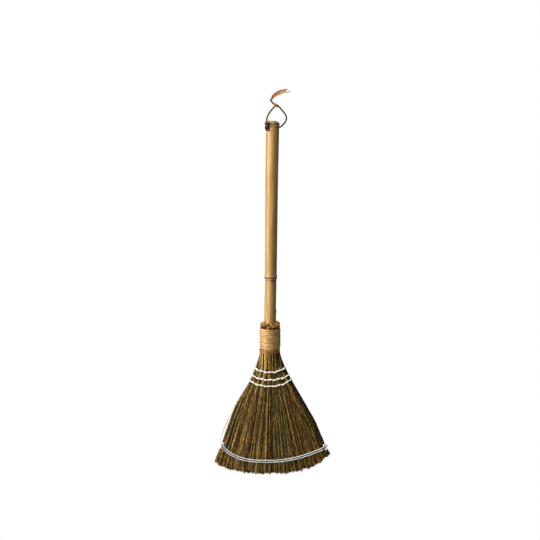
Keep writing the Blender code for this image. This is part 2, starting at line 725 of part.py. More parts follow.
def make_loop(parts, cutters):
    """The cord's free strands, its stretch in the hole, its knots and its frayed end."""
    along = Vector((math.cos(HOLE_TURN), math.sin(HOLE_TURN), 0))
    hole = Vector((-LOOP_SIDE, 0, -LOOP_HEIGHT))
    reach = HANDLE_TOP_RADIUS + NODE_RIDGE
    right = smooth_route(in_metres(RIGHT_ROUTE), CORD_STEP)
    left = smooth_route(in_metres(LEFT_ROUTE), CORD_STEP)
    inside = [hole - along * (reach + 2 * CLEARANCE), hole + along * (reach - CLEARANCE)]
    pieces = [
        (tube("cord_in_hole", inside, CORD_RADIUS, parts), "brown_cord"),
        (tube("loop_strand_right", right, CORD_RADIUS, parts), "brown_cord"),
        (tube("loop_strand_left", left, CORD_RADIUS, parts), "brown_cord"),
        (make_hitch(parts, right), "brown_cord"),
    ]
    side_knot = make_ellipsoid("side_knot", Vector(SIDE_KNOT_PLACE) * MM,
                               (SIDE_KNOT_DEPTH, SIDE_KNOT_WIDTH, SIDE_KNOT_HEIGHT), parts, HOLE_TURN)
    tail = tube("knot_tail", smooth_route(in_metres(KNOT_TAIL_ROUTE), CORD_STEP), KNOT_TAIL_RADIUS, cutters)
    pieces.append((combine(side_knot, tail, "UNION"), "brown_cord"))
    width = 2 * TAIL_KNOT_RADIUS
    tail_knot = make_ellipsoid("tail_knot", Vector(TAIL_KNOT_PLACE) * MM, (width, width, width), parts)
    pieces.append((tail_knot, "brown_cord"))
    fray = None
    for i, route in enumerate(FRAY_ROUTES):
        points = smooth_route(in_metres(route), FRAY_STEP)
        last = len(points) - 1
        shares = [between(1, FRAY_TIP_SHARE, k / last) for k in range(last + 1)]
        if fray:
            prong = tube(f"prong_{i}", points, PRONG_RADIUS, cutters, resolution=1, shares=shares)
            combine(fray, prong, "UNION")
        else:
            fray = tube("frayed_end", points, FRAY_RADIUS, parts, resolution=1, shares=shares)
    pieces.append((fray, "frayed_cord"))
    return pieces


def empty_at(name, place):
    made = bpy.data.objects.new(name, None)
    made.location = place
    bpy.context.scene.collection.objects.link(made)
    return made


def build():
    clear_scene()
    chance = random.Random(SEED)
    parts = collection_named("broom")
    cutters = collection_named("cutters")
    peg = empty_at("loop_peg", (0, 0, 0))
    pivot = empty_at("cord_pivot", (-LOOP_SIDE, 0, -LOOP_HEIGHT))
    broom_place = Vector((-bow(HOLE_HEIGHT), 0, -HOLE_HEIGHT))
    finish(make_handle(parts, cutters), "bamboo", pivot, broom_place)
    for side_name, side in (("front", -1), ("back", 1)):
        for index in range(TUFTS_PER_SIDE):
            tuft = make_tuft(side_name, side, index, parts, cutters, chance)
            finish(tuft, "straw", pivot, broom_place)
    finish(make_inner_tie(parts), "wire", pivot, broom_place)
    finish(make_hoop(parts), "hoop_cane", pivot, broom_place)
    finish(make_binding(parts, cutters), "rattan", pivot, broom_place)
    for row in make_stitch_rows(parts, cutters) + make_hem_threads(parts, cutters):
        finish(row, "white_twine", pivot, broom_place)
    for name, edge in (("hem_knot_left", -1), ("hem_knot_right", 1)):
        finish(make_hem_knot(name, edge, parts, cutters), "white_twine", pivot, broom_place)
    for piece, material in make_loop(parts, cutters):
        finish(piece, material, peg, Vector((0, 0, 0)))


build()
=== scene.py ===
"""Looks of the hand broom: bamboo handle, rattan binding, stitched straw fan and twisted cord loop.

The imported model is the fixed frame. Every piece here is made in metres in that frame, with +Z up along
the handle and -Y towards the front. Places inside the fan are given by a side (-1 front, 1 back), by s,
which runs from -1 at the left edge to 1 at the right edge, and by q, from 0 at the middle plane of the
fan to 1 at its outer straws.
"""

import logging
import math
import random
from dataclasses import asdict, dataclass, field, replace
from enum import Enum
from functools import partial
from typing import Any, Callable, Iterable, NamedTuple, Sequence

import bmesh
import bpy
from mathutils import Matrix, Vector, noise


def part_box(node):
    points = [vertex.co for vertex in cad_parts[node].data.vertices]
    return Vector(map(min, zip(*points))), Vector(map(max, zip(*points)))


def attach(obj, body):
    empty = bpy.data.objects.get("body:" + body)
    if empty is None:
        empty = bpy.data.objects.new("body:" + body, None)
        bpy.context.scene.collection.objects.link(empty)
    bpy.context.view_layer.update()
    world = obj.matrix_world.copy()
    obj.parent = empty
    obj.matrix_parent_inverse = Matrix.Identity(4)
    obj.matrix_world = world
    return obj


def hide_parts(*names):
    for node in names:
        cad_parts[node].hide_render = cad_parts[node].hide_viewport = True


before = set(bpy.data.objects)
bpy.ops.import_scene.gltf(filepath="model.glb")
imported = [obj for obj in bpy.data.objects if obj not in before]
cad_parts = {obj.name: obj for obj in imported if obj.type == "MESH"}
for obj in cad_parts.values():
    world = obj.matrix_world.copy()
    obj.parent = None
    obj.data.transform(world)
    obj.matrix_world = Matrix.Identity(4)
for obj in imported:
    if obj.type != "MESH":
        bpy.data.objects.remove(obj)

MM = 0.001
HOLE_TURN = math.radians(48)

log = logging.getLogger("hand_broom")


class Body(Enum):
    """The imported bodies."""

    BROOM = "broom"
    LOOP = "hanging_loop"


class Slot(Enum):
    """The record's material slots."""

    BAMBOO = "bamboo"
    STRAW = "straw"
    RATTAN = "rattan"
    HOOP_CANE = "hoop_cane"
    WHITE_TWINE = "white_twine"
    BROWN_CORD = "brown_cord"
    FRAYED_CORD = "frayed_cord"
    WIRE = "wire"


class Side(Enum):
    """The two faces of the flat fan."""

    FRONT = -1
    BACK = 1


class Kind(Enum):
    """The kinds of node in the finishes and the geometry trees."""

    ATTRIBUTE = "ShaderNodeAttribute"
    BACKGROUND = "ShaderNodeBackground"
    BUMP = "ShaderNodeBump"
    CIRCLE = "GeometryNodeCurvePrimitiveCircle"
    COMBINE = "ShaderNodeCombineXYZ"
    CURVE_TO_MESH = "GeometryNodeCurveToMesh"
    DUPLICATE = "GeometryNodeDuplicateElements"
    EMISSION = "ShaderNodeEmission"
    GROUP_INPUT = "NodeGroupInput"
    GROUP_OUTPUT = "NodeGroupOutput"
    INDEX = "GeometryNodeInputIndex"
    INSTANCES = "GeometryNodeInstanceOnPoints"
    LIGHT_PATH = "ShaderNodeLightPath"
    MAPPING = "ShaderNodeMapping"
    MATERIAL_OUTPUT = "ShaderNodeOutputMaterial"
    MATH = "ShaderNodeMath"
    MESH_TO_CURVE = "GeometryNodeMeshToCurve"
    MIX = "ShaderNodeMix"
    MIX_SHADER = "ShaderNodeMixShader"
    NAMED_ATTRIBUTE = "GeometryNodeInputNamedAttribute"
    NOISE = "ShaderNodeTexNoise"
    NORMAL = "GeometryNodeInputNormal"
    ON_DOMAIN = "GeometryNodeFieldOnDomain"
    POSITION = "GeometryNodeInputPosition"
    PRINCIPLED = "ShaderNodeBsdfPrincipled"
    RAMP = "ShaderNodeValToRGB"
    RANDOM = "FunctionNodeRandomValue"
    RANGE = "ShaderNodeMapRange"
    REALIZE = "GeometryNodeRealizeInstances"
    RECTANGLE = "GeometryNodeCurvePrimitiveQuadrilateral"
    RESAMPLE = "GeometryNodeResampleCurve"
    SEPARATE = "ShaderNodeSeparateXYZ"
    SET_MATERIAL = "GeometryNodeSetMaterial"
    SET_NORMAL = "GeometryNodeSetCurveNormal"
    SET_POSITION = "GeometryNodeSetPosition"
    SHADE_SMOOTH = "GeometryNodeSetShadeSmooth"
    SPIRAL = "GeometryNodeCurveSpiral"
    SPLINE_PARAMETER = "GeometryNodeSplineParameter"
    STORE = "GeometryNodeStoreNamedAttribute"
    SUBDIVIDE = "GeometryNodeSubdivideCurve"
    TANGENT = "GeometryNodeInputTangent"
    TEXTURE_PLACE = "ShaderNodeTexCoord"
    TRANSFORM = "GeometryNodeTransform"
    TRIM = "GeometryNodeTrimCurve"
    VECTOR_MATH = "ShaderNodeVectorMath"
    WORLD_OUTPUT = "ShaderNodeOutputWorld"


def metres(*sizes: float) -> tuple[float, ...]:
    """Millimetres as metres."""
    return tuple(size * MM for size in sizes)


def linear(code: str) -> tuple[float, float, float, float]:
    """Turns an sRGB hex colour into linear values.

    Args:
        code: A colour such as "#c69d5b".

    Returns:
        Red, green, blue and an alpha of one.
    """
    values = [int(code[i:i + 2], 16) / 255 for i in (1, 3, 5)]
    turned = [v / 12.92 if v <= 0.04045 else ((v + 0.055) / 1.055) ** 2.4 for v in values]
    return (*turned, 1.0)


def add_node(tree: bpy.types.NodeTree, kind: Kind, *values: Any, named: dict[str, Any] | None = None,
             stops: Sequence[tuple[float, str]] = (), **settings: Any) -> bpy.types.Node:
    """Adds a node with its settings, its values and its links.

    Args:
        tree: The tree to add to.
        kind: The kind of node.
        values: A number, a hex colour, a socket or a node (its first shown output) for each shown input.
        named: The same for inputs that are given by name.
        stops: A colour ramp's places, from 0 to 1, and their colours.
        settings: The node's own properties.

    Returns:
        The new node.
    """
    node = tree.nodes.new(kind.value)
    for name, setting in settings.items():
        setattr(node, name, setting)
    shown = [socket for socket in node.inputs if socket.enabled]
    by_name = [(node.inputs[name], value) for name, value in (named or {}).items()]
    for target, value in [*zip(shown, values), *by_name]:
        if isinstance(value, bpy.types.Node):
            value = next(socket for socket in value.outputs if socket.enabled)
        if isinstance(value, bpy.types.NodeSocket):
            tree.links.new(value, target)
        else:
            target.default_value = linear(value) if str(value).startswith("#") else value
    if stops:
        elements = node.color_ramp.elements
        while len(elements) < len(stops):
            elements.new(0.5)
        for element, (place, code) in zip(elements, stops):
            element.position = place
            element.color = linear(code)
    return node


def grain(tree: bpy.types.NodeTree, level: float, upright: float, detail: float = 3.0,
          roughness: float = 0.55) -> bpy.types.Node:
    """Noise on Object coordinates.

    Args:
        tree: The material's tree.
        level: How wide its lumps are, in metres.
        upright: How tall its lumps are, in metres.
        detail: How many finer octaves there are.
        roughness: How strong the finer octaves are.

    Returns:
        The noise.
    """
    place = add_node(tree, Kind.TEXTURE_PLACE).outputs["Object"]
    scaled = add_node(tree, Kind.MAPPING, place, named={"Scale": (1 / level, 1 / level, 1 / upright)})
    return add_node(tree, Kind.NOISE, scaled, 1.0, detail, roughness)


def overlaid(tree: bpy.types.NodeTree, base: Any, colour: Any, pattern: Any, low: float, high: float,
             share: float) -> bpy.types.Node:
    """Lays a colour over another where a pattern is high.

    Args:
        tree: The material's tree.
        base: The colour below.
        colour: The colour on top.
        pattern: What says where it lies.
        low: The value below which nothing of it shows.
        high: The value above which it shows fully.
        share: How much it covers there.

    Returns:
        The mixed colour.
    """
    cover = add_node(tree, Kind.RANGE, pattern, low, high, 0.0, share, interpolation_type="SMOOTHSTEP")
    return add_node(tree, Kind.MIX, cover, base, colour, data_type="RGBA")


def marked(tree: bpy.types.NodeTree, base: Any, colour: Any, mark: str) -> bpy.types.Node:
    """Lays a colour over another where one of the piece's own attributes says so."""
    share = add_node(tree, Kind.ATTRIBUTE, attribute_name=mark).outputs["Fac"]
    return add_node(tree, Kind.MIX, share, base, colour, data_type="RGBA")


@dataclass(frozen=True)
class Finish:
    """What every finish shares: the material's name and the shader's steady values."""

    name: str
    slot: Slot
    roughness: float
    relief: float
    relief_depth: float
    metallic: float = 0.0
    coat: float = 0.0
    coat_roughness: float = 0.25
    sheen: float = 0.0
    specular: float = 0.5
    ior: float = 1.5

    def pattern(self, tree: bpy.types.NodeTree) -> tuple[Any, Any]:
        """Builds the colour and the relief.

        Args:
            tree: The material's tree.

        Returns:
            The colour and the height.
        """
        raise NotImplementedError

    def material(self) -> bpy.types.Material:
        """The finished material, made once.

        Returns:
            The material.
        """
        known = bpy.data.materials.get(self.name)
        if known:
            return known
        made = bpy.data.materials.new(self.name)
        made.use_nodes = True
        tree = made.node_tree
        tree.nodes.clear()
        colour, height = self.pattern(tree)
        bump = add_node(tree, Kind.BUMP, named={"Height": height, "Strength": self.relief,
                                                "Distance": self.relief_depth})
        shader = add_node(tree, Kind.PRINCIPLED, named={
            "Base Color": colour, "Normal": bump, "Roughness": self.roughness, "Metallic": self.metallic,
            "Coat Weight": self.coat, "Coat Roughness": self.coat_roughness, "Sheen Weight": self.sheen,
            "Specular IOR Level": self.specular, "IOR": self.ior})
        add_node(tree, Kind.MATERIAL_OUTPUT, shader)
        return made


@dataclass(frozen=True)
class BambooFinish(Finish):
    """Dried bamboo, peeled of its sheaths and rubbed: long pale fibres under a waxy, half-glossy skin."""

    fibre: float = 0.9 * MM
    streak: float = 3.2 * MM
    patch: float = 14.0 * MM
    skin: tuple = ((0.3, "#956d37"), (0.47, "#aa864e"), (0.6, "#b69660"), (0.75, "#c1a675"))
    wood: tuple = ((0.42, "#966f3b"), (0.55, "#caad7a"), (0.7, "#d6c195"))

    def pattern(self, tree: bpy.types.NodeTree) -> tuple[Any, Any]:
        """Long streaks, soft mottling, green patches, specks, dark scars and a pale cut end.

        Args:
            tree: The material's tree.

        Returns:
            The colour and the height.
        """
        fibres = grain(tree, self.fibre, self.fibre * 60, 4.0)
        mottling = grain(tree, self.patch, self.patch * 3)
        green = grain(tree, self.patch, self.patch * 7, 1.0)
        specks = grain(tree, self.fibre * 2.2, self.fibre * 5, 2.0)
        skin = add_node(tree, Kind.RAMP, grain(tree, self.streak, self.streak * 24), stops=self.skin)
        skin = overlaid(tree, skin, "#936c35", mottling, 0.5, 0.72, 0.5)
        skin = overlaid(tree, skin, "#928751", green, 0.56, 0.74, 0.35)
        skin = overlaid(tree, skin, "#7e582a", fibres, 0.52, 0.68, 0.32)
        skin = overlaid(tree, skin, "#5f3c18", specks, 0.69, 0.76, 0.55)
        skin = marked(tree, skin, "#d6bf91", "pale")
        skin = marked(tree, skin, "#4a2a0c", "scar")
        wood = add_node(tree, Kind.RAMP, grain(tree, self.fibre, self.fibre * 60, 1.0), stops=self.wood)
        return marked(tree, skin, wood, "cut"), fibres


@dataclass(frozen=True)
class StrawFinish(Finish):
    """Dry broom straw: thin round stalks, each of its own age and tone, with a dull waxy shine."""

    tuft: float = 26.0 * MM
    fleck: float = 2.0 * MM
    plain: tuple = ((0.0, "#1d1103"), (0.22, "#43300f"), (0.5, "#70561f"), (0.78, "#a07c37"),
                    (1.0, "#c9a660"))
    rusty: tuple = ((0.0, "#210f04"), (0.5, "#7a4a1f"), (1.0, "#c08b4d"))
    green: tuple = ((0.0, "#1e1c07"), (0.5, "#545125"), (1.0, "#8a8548"))

    def pattern(self, tree: bpy.types.NodeTree) -> tuple[Any, Any]:
        """A tone for each stalk, broken by short flecks and shifted by redder and greener straw.

        Args:
            tree: The material's tree.

        Returns:
            The colour and the height.
        """
        node = partial(add_node, tree)
        own = {name: node(Kind.ATTRIBUTE, attribute_name=name).outputs["Fac"]
               for name in ("tone", "shade", "flecking", "tint", "green")}
        flecks = grain(tree, self.fleck, self.fleck * 4, 2.0)
        spread = node(Kind.MATH, flecks, 0.5, operation="SUBTRACT")
        # Each straw's shade attribute holds its own tone with painted light on the fan's left and painted
        # shade down its right edge and in the neck.
        shade = node(Kind.MATH, spread, own["flecking"], own["shade"], operation="MULTIPLY_ADD")
        tone = node(Kind.MATH, own["tone"], shade, operation="ADD")
        plain, rusty, green = (node(Kind.RAMP, tone, stops=stops)
                               for stops in (self.plain, self.rusty, self.green))
        lines = grain(tree, self.fleck * 2, self.fleck * 18, 2.0)
        stalk = overlaid(tree, plain, rusty, lines, 0.5, 0.66, 0.65)
        tufts = grain(tree, self.tuft, self.tuft * 7, 2.0)
        patches = node(Kind.RANGE, tufts, 0.54, 0.7, 0.0, 0.35, interpolation_type="SMOOTHSTEP")
        tint = node(Kind.MATH, patches, own["tint"], operation="ADD")
        stalk = node(Kind.MIX, tint, stalk, green, data_type="RGBA")
        return overlaid(tree, stalk, green, own["green"], 0.86, 0.9, 0.6), flecks


@dataclass(frozen=True)
class ButtFinish(Finish):
    """The cut ends of the same straw, paler on the cut, with painted shade dark down the hollow."""

    fleck: float = 1.4 * MM
    fleck_length: float = 8.0 * MM
    stalk: tuple = ((0.0, "#241203"), (0.35, "#452709"), (0.7, "#6c4315"), (1.0, "#99692b"))

    def pattern(self, tree: bpy.types.NodeTree) -> tuple[Any, Any]:
        """Straw tones with a pale cut rim and painted shade in the hollow.

        Args:
            tree: The material's tree.

        Returns:
            The colour and the height.
        """
        node = partial(add_node, tree)
        flecks = grain(tree, self.fleck, self.fleck_length)
        shift = node(Kind.MATH, flecks, 0.6, -0.3, operation="MULTIPLY_ADD")
        own_tone = node(Kind.ATTRIBUTE, attribute_name="tone").outputs["Fac"]
        tone = node(Kind.MATH, own_tone, shift, operation="ADD")
        stalk = marked(tree, node(Kind.RAMP, tone, stops=self.stalk), "#ab7d3f", "cut")
        # Near-black painted shade down the hollow of each cut end.
        return marked(tree, stalk, "#120802", "bore"), flecks


@dataclass(frozen=True, kw_only=True)
class CaneFinish(Finish):
    """Peeled cane, split and wound wet: fine lines along the strip under its own glossy skin."""

    dark: str
    body: str
    light: str
    line: float = 0.45 * MM

    def pattern(self, tree: bpy.types.NodeTree) -> tuple[Any, Any]:
        """Lines that run round the neck, with slower changes from turn to turn.

        Args:
            tree: The material's tree.

        Returns:
            The colour and the height.
        """
        lines = grain(tree, self.line * 60, self.line)
        turns = grain(tree, self.line * 50, self.line * 9, 2.0)
        spots = grain(tree, self.line * 6, self.line * 2, 2.0)
        base = add_node(tree, Kind.RAMP, turns, stops=((0.3, self.dark), (0.5, self.body), (0.7, self.light)))
        base = overlaid(tree, base, self.dark, lines, 0.5, 0.66, 0.35)
        return overlaid(tree, base, self.dark, spots, 0.66, 0.74, 0.4), lines


@dataclass(frozen=True)
class YarnFinish(Finish):
    """Spun yarn: soft matt fibres that lie in slanted lines along each ply."""

    # The darkest tone of the lumps, also laid in the grooves as painted shade.
    dark_and_groove_shade: str = "#dedbd2"
    body: str = "#faf9f5"
    light: str = "#ffffff"
    spin: float = 5.0 * MM
    yarns: int = 3
    lump: float = 2.2 * MM
    dark_and_groove_shade_share: float = 0.45

    def stripes(self, tree: bpy.types.NodeTree) -> bpy.types.Node:
        """Slanted lines of yarn, from the attributes that run along and round each ply.

        Args:
            tree: The material's tree.

        Returns:
            A value from 0 in the grooves to 1 on the yarns.
        """
        node = partial(add_node, tree)
        run, turn = (node(Kind.ATTRIBUTE, attribute_name=name).outputs["Fac"] for name in ("run", "round"))
        turns = node(Kind.MATH, run, 1 / self.spin, turn, operation="MULTIPLY_ADD")
        angle = node(Kind.MATH, turns, math.tau * self.yarns, operation="MULTIPLY")
        wave = node(Kind.MATH, angle, operation="SINE")
        return node(Kind.MATH, wave, 0.5, 0.5, operation="MULTIPLY_ADD")

    def pattern(self, tree: bpy.types.NodeTree) -> tuple[Any, Any]:
        """Yarn lines with painted shade in the grooves and uneven lumps.

        Args:
            tree: The material's tree.

        Returns:
            The colour and the height.
        """
        node = partial(add_node, tree)
        stripes = self.stripes(tree)
        lumps = grain(tree, self.lump, self.lump, roughness=0.65)
        base = node(Kind.RAMP, lumps, stops=((0.3, self.dark_and_groove_shade), (0.5, self.body), (0.72, self.light)))
        # Painted shade: the groove colour is laid in between the yarns.
        depth = node(Kind.MATH, stripes, -self.dark_and_groove_shade_share, self.dark_and_groove_shade_share, operation="MULTIPLY_ADD")
        return node(Kind.MIX, depth, base, self.dark_and_groove_shade, data_type="RGBA"), stripes


@dataclass(frozen=True)
class FibreFinish(Finish):
    """Loose fibres of an untwisted cord end, each with its own tone; the same pale fibres paint a highlight
    on the hitch.
    """

    lump: float = 3.0 * MM
    fibre: tuple = ((0.0, "#ac774a"), (0.3, "#cf9a63"), (0.7, "#e2bb8c"), (1.0, "#f2dcba"))

    def pattern(self, tree: bpy.types.NodeTree) -> tuple[Any, Any]:
        """A tone for each fibre.

        Args:
            tree: The material's tree.

        Returns:
            The colour and the height.
        """
        node = partial(add_node, tree)
        lumps = grain(tree, self.lump, self.lump, 2.0)
        shift = node(Kind.MATH, lumps, 0.7, -0.35, operation="MULTIPLY_ADD")
        own_tone = node(Kind.ATTRIBUTE, attribute_name="tone").outputs["Fac"]
        return node(Kind.RAMP, node(Kind.MATH, own_tone, shift, operation="ADD"), stops=self.fibre), lumps


@dataclass(frozen=True)
class WireFinish(Finish):
    """Annealed steel wire with a dull grey oxide skin."""

    spot: float = 1.2 * MM

    def pattern(self, tree: bpy.types.NodeTree) -> tuple[Any, Any]:
        """Drawn grey metal with faint darker spots.

        Args:
            tree: The material's tree.

        Returns:
            The colour and the height.
        """
        spots = grain(tree, self.spot, self.spot, 2.0)
        return add_node(tree, Kind.RAMP, spots, stops=((0.35, "#6f6a64"), (0.65, "#a39d95"))), spots


# Bamboo with its sheaths peeled off and its skin rubbed by hands: a soft streak of light along the culm.
BAMBOO = BambooFinish("peeled_bamboo", Slot.BAMBOO, 0.45, 0.12, 0.15 * MM, coat=0.08, specular=0.4)
# Dried sorghum straw, unvarnished: dull, with a faint waxy shine on single stalks.
STRAW = StrawFinish("dry_broom_straw", Slot.STRAW, 0.62, 0.1, 0.1 * MM, specular=0.3)
# The same straw sawn off: dull dark ends with pale rims.
BUTTS = ButtFinish("cut_straw_butts", Slot.STRAW, 0.65, 0.3, 0.2 * MM, specular=0.3)
# Split rattan with its natural skin outwards: a glossy band on each turn.
RATTAN = CaneFinish("split_rattan", Slot.RATTAN, 0.38, 0.18, 0.08 * MM, coat=0.3,
                    dark="#9c723c", body="#b68f59", light="#c6a36d")
# Cane dyed orange-brown and left rough: darker and flatter than the rattan.
HOOP_CANE = CaneFinish("dyed_hoop_cane", Slot.HOOP_CANE, 0.45, 0.35, 0.15 * MM,
                       dark="#532e0e", body="#87521d", light="#9b692c")
# Bleached cotton, laid in two plies: matt white with faint warm painted shade in its grooves.
TWINE = YarnFinish("white_cotton_twine", Slot.WHITE_TWINE, 0.85, 0.5, 0.15 * MM, specular=0.3)
# A thinner bleached thread: matt and a little bluish, with bluish painted shade in its grooves.
HEM_TWINE = YarnFinish("white_hem_thread", Slot.WHITE_TWINE, 0.85, 0.5, 0.12 * MM, specular=0.3,
                       dark_and_groove_shade="#cdd2dd", body="#f3f6fd", light="#ffffff")
# A dark grey, matt thread laid between the hem threads, darker still in its grooves as painted shade.
LASHING = YarnFinish("grey_lashing_thread", Slot.WHITE_TWINE, 0.85, 0.5, 0.12 * MM, specular=0.2,
                     dark_and_groove_shade="#1b1f28", body="#373d4a", light="#5c6472")
# Dyed jute cord in two plies: rough and matt, with painted shade nearly black in its grooves.
CORD = YarnFinish("brown_twisted_cord", Slot.BROWN_CORD, 0.85, 0.6, 0.2 * MM, specular=0.12,
                  dark_and_groove_shade="#281103", body="#5e3712", light="#94632b", spin=6.0 * MM, lump=1.6 * MM)
# The same jute untwisted and frayed: pale fibres with a little sheen; the same fibres paint a highlight on
# the hitch.
FRAY = FibreFinish("frayed_cord_fibres", Slot.FRAYED_CORD, 0.75, 0.2, 0.1 * MM, sheen=0.1, specular=0.3)
# Soft tie wire: a grey metal without gloss.
WIRE = WireFinish("annealed_wire", Slot.WIRE, 0.45, 0.1, 0.05 * MM, metallic=1.0)


def linked(name: str, mesh: bpy.types.Mesh) -> bpy.types.Object:
    """Puts a mesh into the scene as an object at the origin.

    Args:
        name: The object's name.
        mesh: Its mesh.

    Returns:
        The object.
    """
    item = bpy.data.objects.new(name, mesh)
    bpy.context.scene.collection.objects.link(item)
    return item


def dress(piece: bpy.types.Object, body: Body, finish: Finish, *nodes: str) -> bpy.types.Object:
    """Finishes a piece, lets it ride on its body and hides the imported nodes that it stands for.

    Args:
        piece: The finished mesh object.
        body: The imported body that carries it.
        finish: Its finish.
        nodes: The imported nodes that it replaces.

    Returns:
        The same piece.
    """
    if not piece.data.materials:
        piece.data.materials.append(finish.material())
    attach(piece, body.value)
    if nodes:
        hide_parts(*nodes)
    log.info("%s: %d faces on %s", piece.name, len(piece.data.polygons), body.value)
    return piece


@dataclass
class Guides:
    """Open lines for a tree to follow, with the numbers and vectors that their points carry."""

    points: list[Vector] = field(default_factory=list)
    edges: list[tuple[int, int]] = field(default_factory=list)
    marks: dict[str, list] = field(default_factory=dict)

    def add(self, line: Sequence[Vector], **marks: Sequence[Any]) -> None:
        """Adds a line.

        Args:
            line: Its points.
            marks: A number or a vector at each point, for each named attribute.
        """
        first = len(self.points)
        self.edges += [(first + i, first + i + 1) for i in range(len(line) - 1)]
        self.points += line
        for name, values in marks.items():
            self.marks.setdefault(name, []).extend(values)

    def piece(self) -> bpy.types.Object:
        """The lines as a mesh of edges.

        Returns:
            The mesh object.
        """
        mesh = bpy.data.meshes.new("guides")
        mesh.from_pydata(self.points, self.edges, [])
        for name, values in self.marks.items():
            if isinstance(values[0], Vector):
                flat = [number for value in values for number in value]
                mesh.attributes.new(name, "FLOAT_VECTOR", "POINT").data.foreach_set("vector", flat)
            else:
                mesh.attributes.new(name, "FLOAT", "POINT").data.foreach_set("value", values)
        return linked("guides", mesh)


def plain_guides(*lines: Sequence[Vector]) -> bpy.types.Object:
    """Lines that carry nothing, as a mesh of edges.

    Args:
        lines: The points of each line.

    Returns:
        The mesh object.
    """
    guides = Guides()
    for line in lines:
        guides.add(line)
    return guides.piece()


def own_index(tree: bpy.types.NodeTree) -> bpy.types.Node:
    """The number of the curve that a point belongs to."""
    index = add_node(tree, Kind.INDEX)
    return add_node(tree, Kind.ON_DOMAIN, index, data_type="INT", domain="CURVE")


def drawn(tree: bpy.types.NodeTree, low: Any, high: Any, seed: Any, step: int, index: Any) -> bpy.types.Node:
    """A steady random number for each index.

    Args:
        tree: The geometry tree.
        low: The lowest number.
        high: The highest number.
        seed: The piece's seed.
        step: What is added to the seed, so that each use draws its own numbers.
        index: The index.

    Returns:
        The number.
    """
    own_seed = add_node(tree, Kind.MATH, seed, step, operation="ADD")
    return add_node(tree, Kind.RANDOM, low, high, index, own_seed)


def drifted(tree: bpy.types.NodeTree, spot: Any, detail: float, strength: Any) -> bpy.types.Node:
    """A steady random shift that changes slowly from place to place.

    Args:
        tree: The geometry tree.
        spot: The place, in lengths of one change.
        detail: How many finer octaves there are.
        strength: How long the shift may be.

    Returns:
        The shift.
    """
    cloud = add_node(tree, Kind.NOISE, spot, 1.0, detail).outputs["Color"]
    centred = add_node(tree, Kind.VECTOR_MATH, cloud, (-0.5, -0.5, -0.5), operation="ADD")
    return add_node(tree, Kind.VECTOR_MATH, centred, strength, operation="SCALE")


def swept(tree: bpy.types.NodeTree, curves: Any, radius: Any, sides: Any) -> bpy.types.Node:
    """Skins curves with a round section whose radius may change along them.

    Args:
        tree: The geometry tree.
        curves: The curves.
        radius: The radius at each point.
        sides: How many sides the section has.

    Returns:
        The skin, on which the attribute round runs once round each curve.
    """
    circle = add_node(tree, Kind.CIRCLE, sides, 1.0)
    around = add_node(tree, Kind.SPLINE_PARAMETER).outputs["Factor"]
    profile = add_node(tree, Kind.STORE, circle, True, "round", around)
    return add_node(tree, Kind.CURVE_TO_MESH, curves, profile, radius, True)


@dataclass(frozen=True)
class Growth:
    """Pieces that a geometry tree makes. The fields of each kind of growth are its tree's named inputs."""

    def shape(self, tree: bpy.types.NodeTree, given: Any) -> bpy.types.Node:
        """Builds the nodes between the inputs and the finished surface.

        Args:
            tree: The geometry tree.
            given: The inputs' values, by name.

        Returns:
            The node that gives the surface.
        """
        raise NotImplementedError

    def tree(self) -> bpy.types.NodeTree:
        """The tree of this kind of growth, made once.

        Returns:
            The tree.
        """
        name = type(self).__name__
        known = bpy.data.node_groups.get(name)
        if known:
            return known
        made = bpy.data.node_groups.new(name, "GeometryNodeTree")
        add_socket = made.interface.new_socket
        add_socket("geometry", in_out="INPUT", socket_type="NodeSocketGeometry")
        add_socket("geometry", in_out="OUTPUT", socket_type="NodeSocketGeometry")
        for size, value in asdict(self).items():
            number = "NodeSocketInt" if isinstance(value, int) else "NodeSocketFloat"
            add_socket(size, in_out="INPUT", socket_type=number).default_value = value
        add_socket("finish", in_out="INPUT", socket_type="NodeSocketMaterial")
        given = add_node(made, Kind.GROUP_INPUT).outputs
        smooth = add_node(made, Kind.SHADE_SMOOTH, self.shape(made, given))
        real = add_node(made, Kind.REALIZE, smooth)
        dressed = add_node(made, Kind.SET_MATERIAL, real, named={"Material": given["finish"]})
        add_node(made, Kind.GROUP_OUTPUT, dressed)
        return made

    def grow(self, name: str, base: bpy.types.Object, body: Body, finish: Finish,
             *nodes: str) -> bpy.types.Object:
        """Runs the tree on a base object, keeps the result as a plain mesh and dresses it.

        Args:
            name: The finished piece's name.
            base: The object that the tree starts from. It is used up.
            body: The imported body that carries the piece.
            finish: Its finish.
            nodes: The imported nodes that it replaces.

        Returns:
            The finished piece, at the origin.
        """
        modifier = base.modifiers.new("growth", "NODES")
        modifier.node_group = self.tree()
        values = {**asdict(self), "finish": finish.material()}
        for socket in modifier.node_group.interface.items_tree:
            if socket.in_out == "INPUT" and socket.name in values:
                modifier[socket.identifier] = values[socket.name]
        bpy.context.view_layer.update()
        graph = bpy.context.evaluated_depsgraph_get()
        mesh = bpy.data.meshes.new_from_object(base.evaluated_get(graph), preserve_all_data_layers=True,
                                               depsgraph=graph)
        base.modifiers.remove(modifier)
        bpy.data.objects.remove(base, do_unlink=True)
        return dress(linked(name, mesh), body, finish, *nodes)


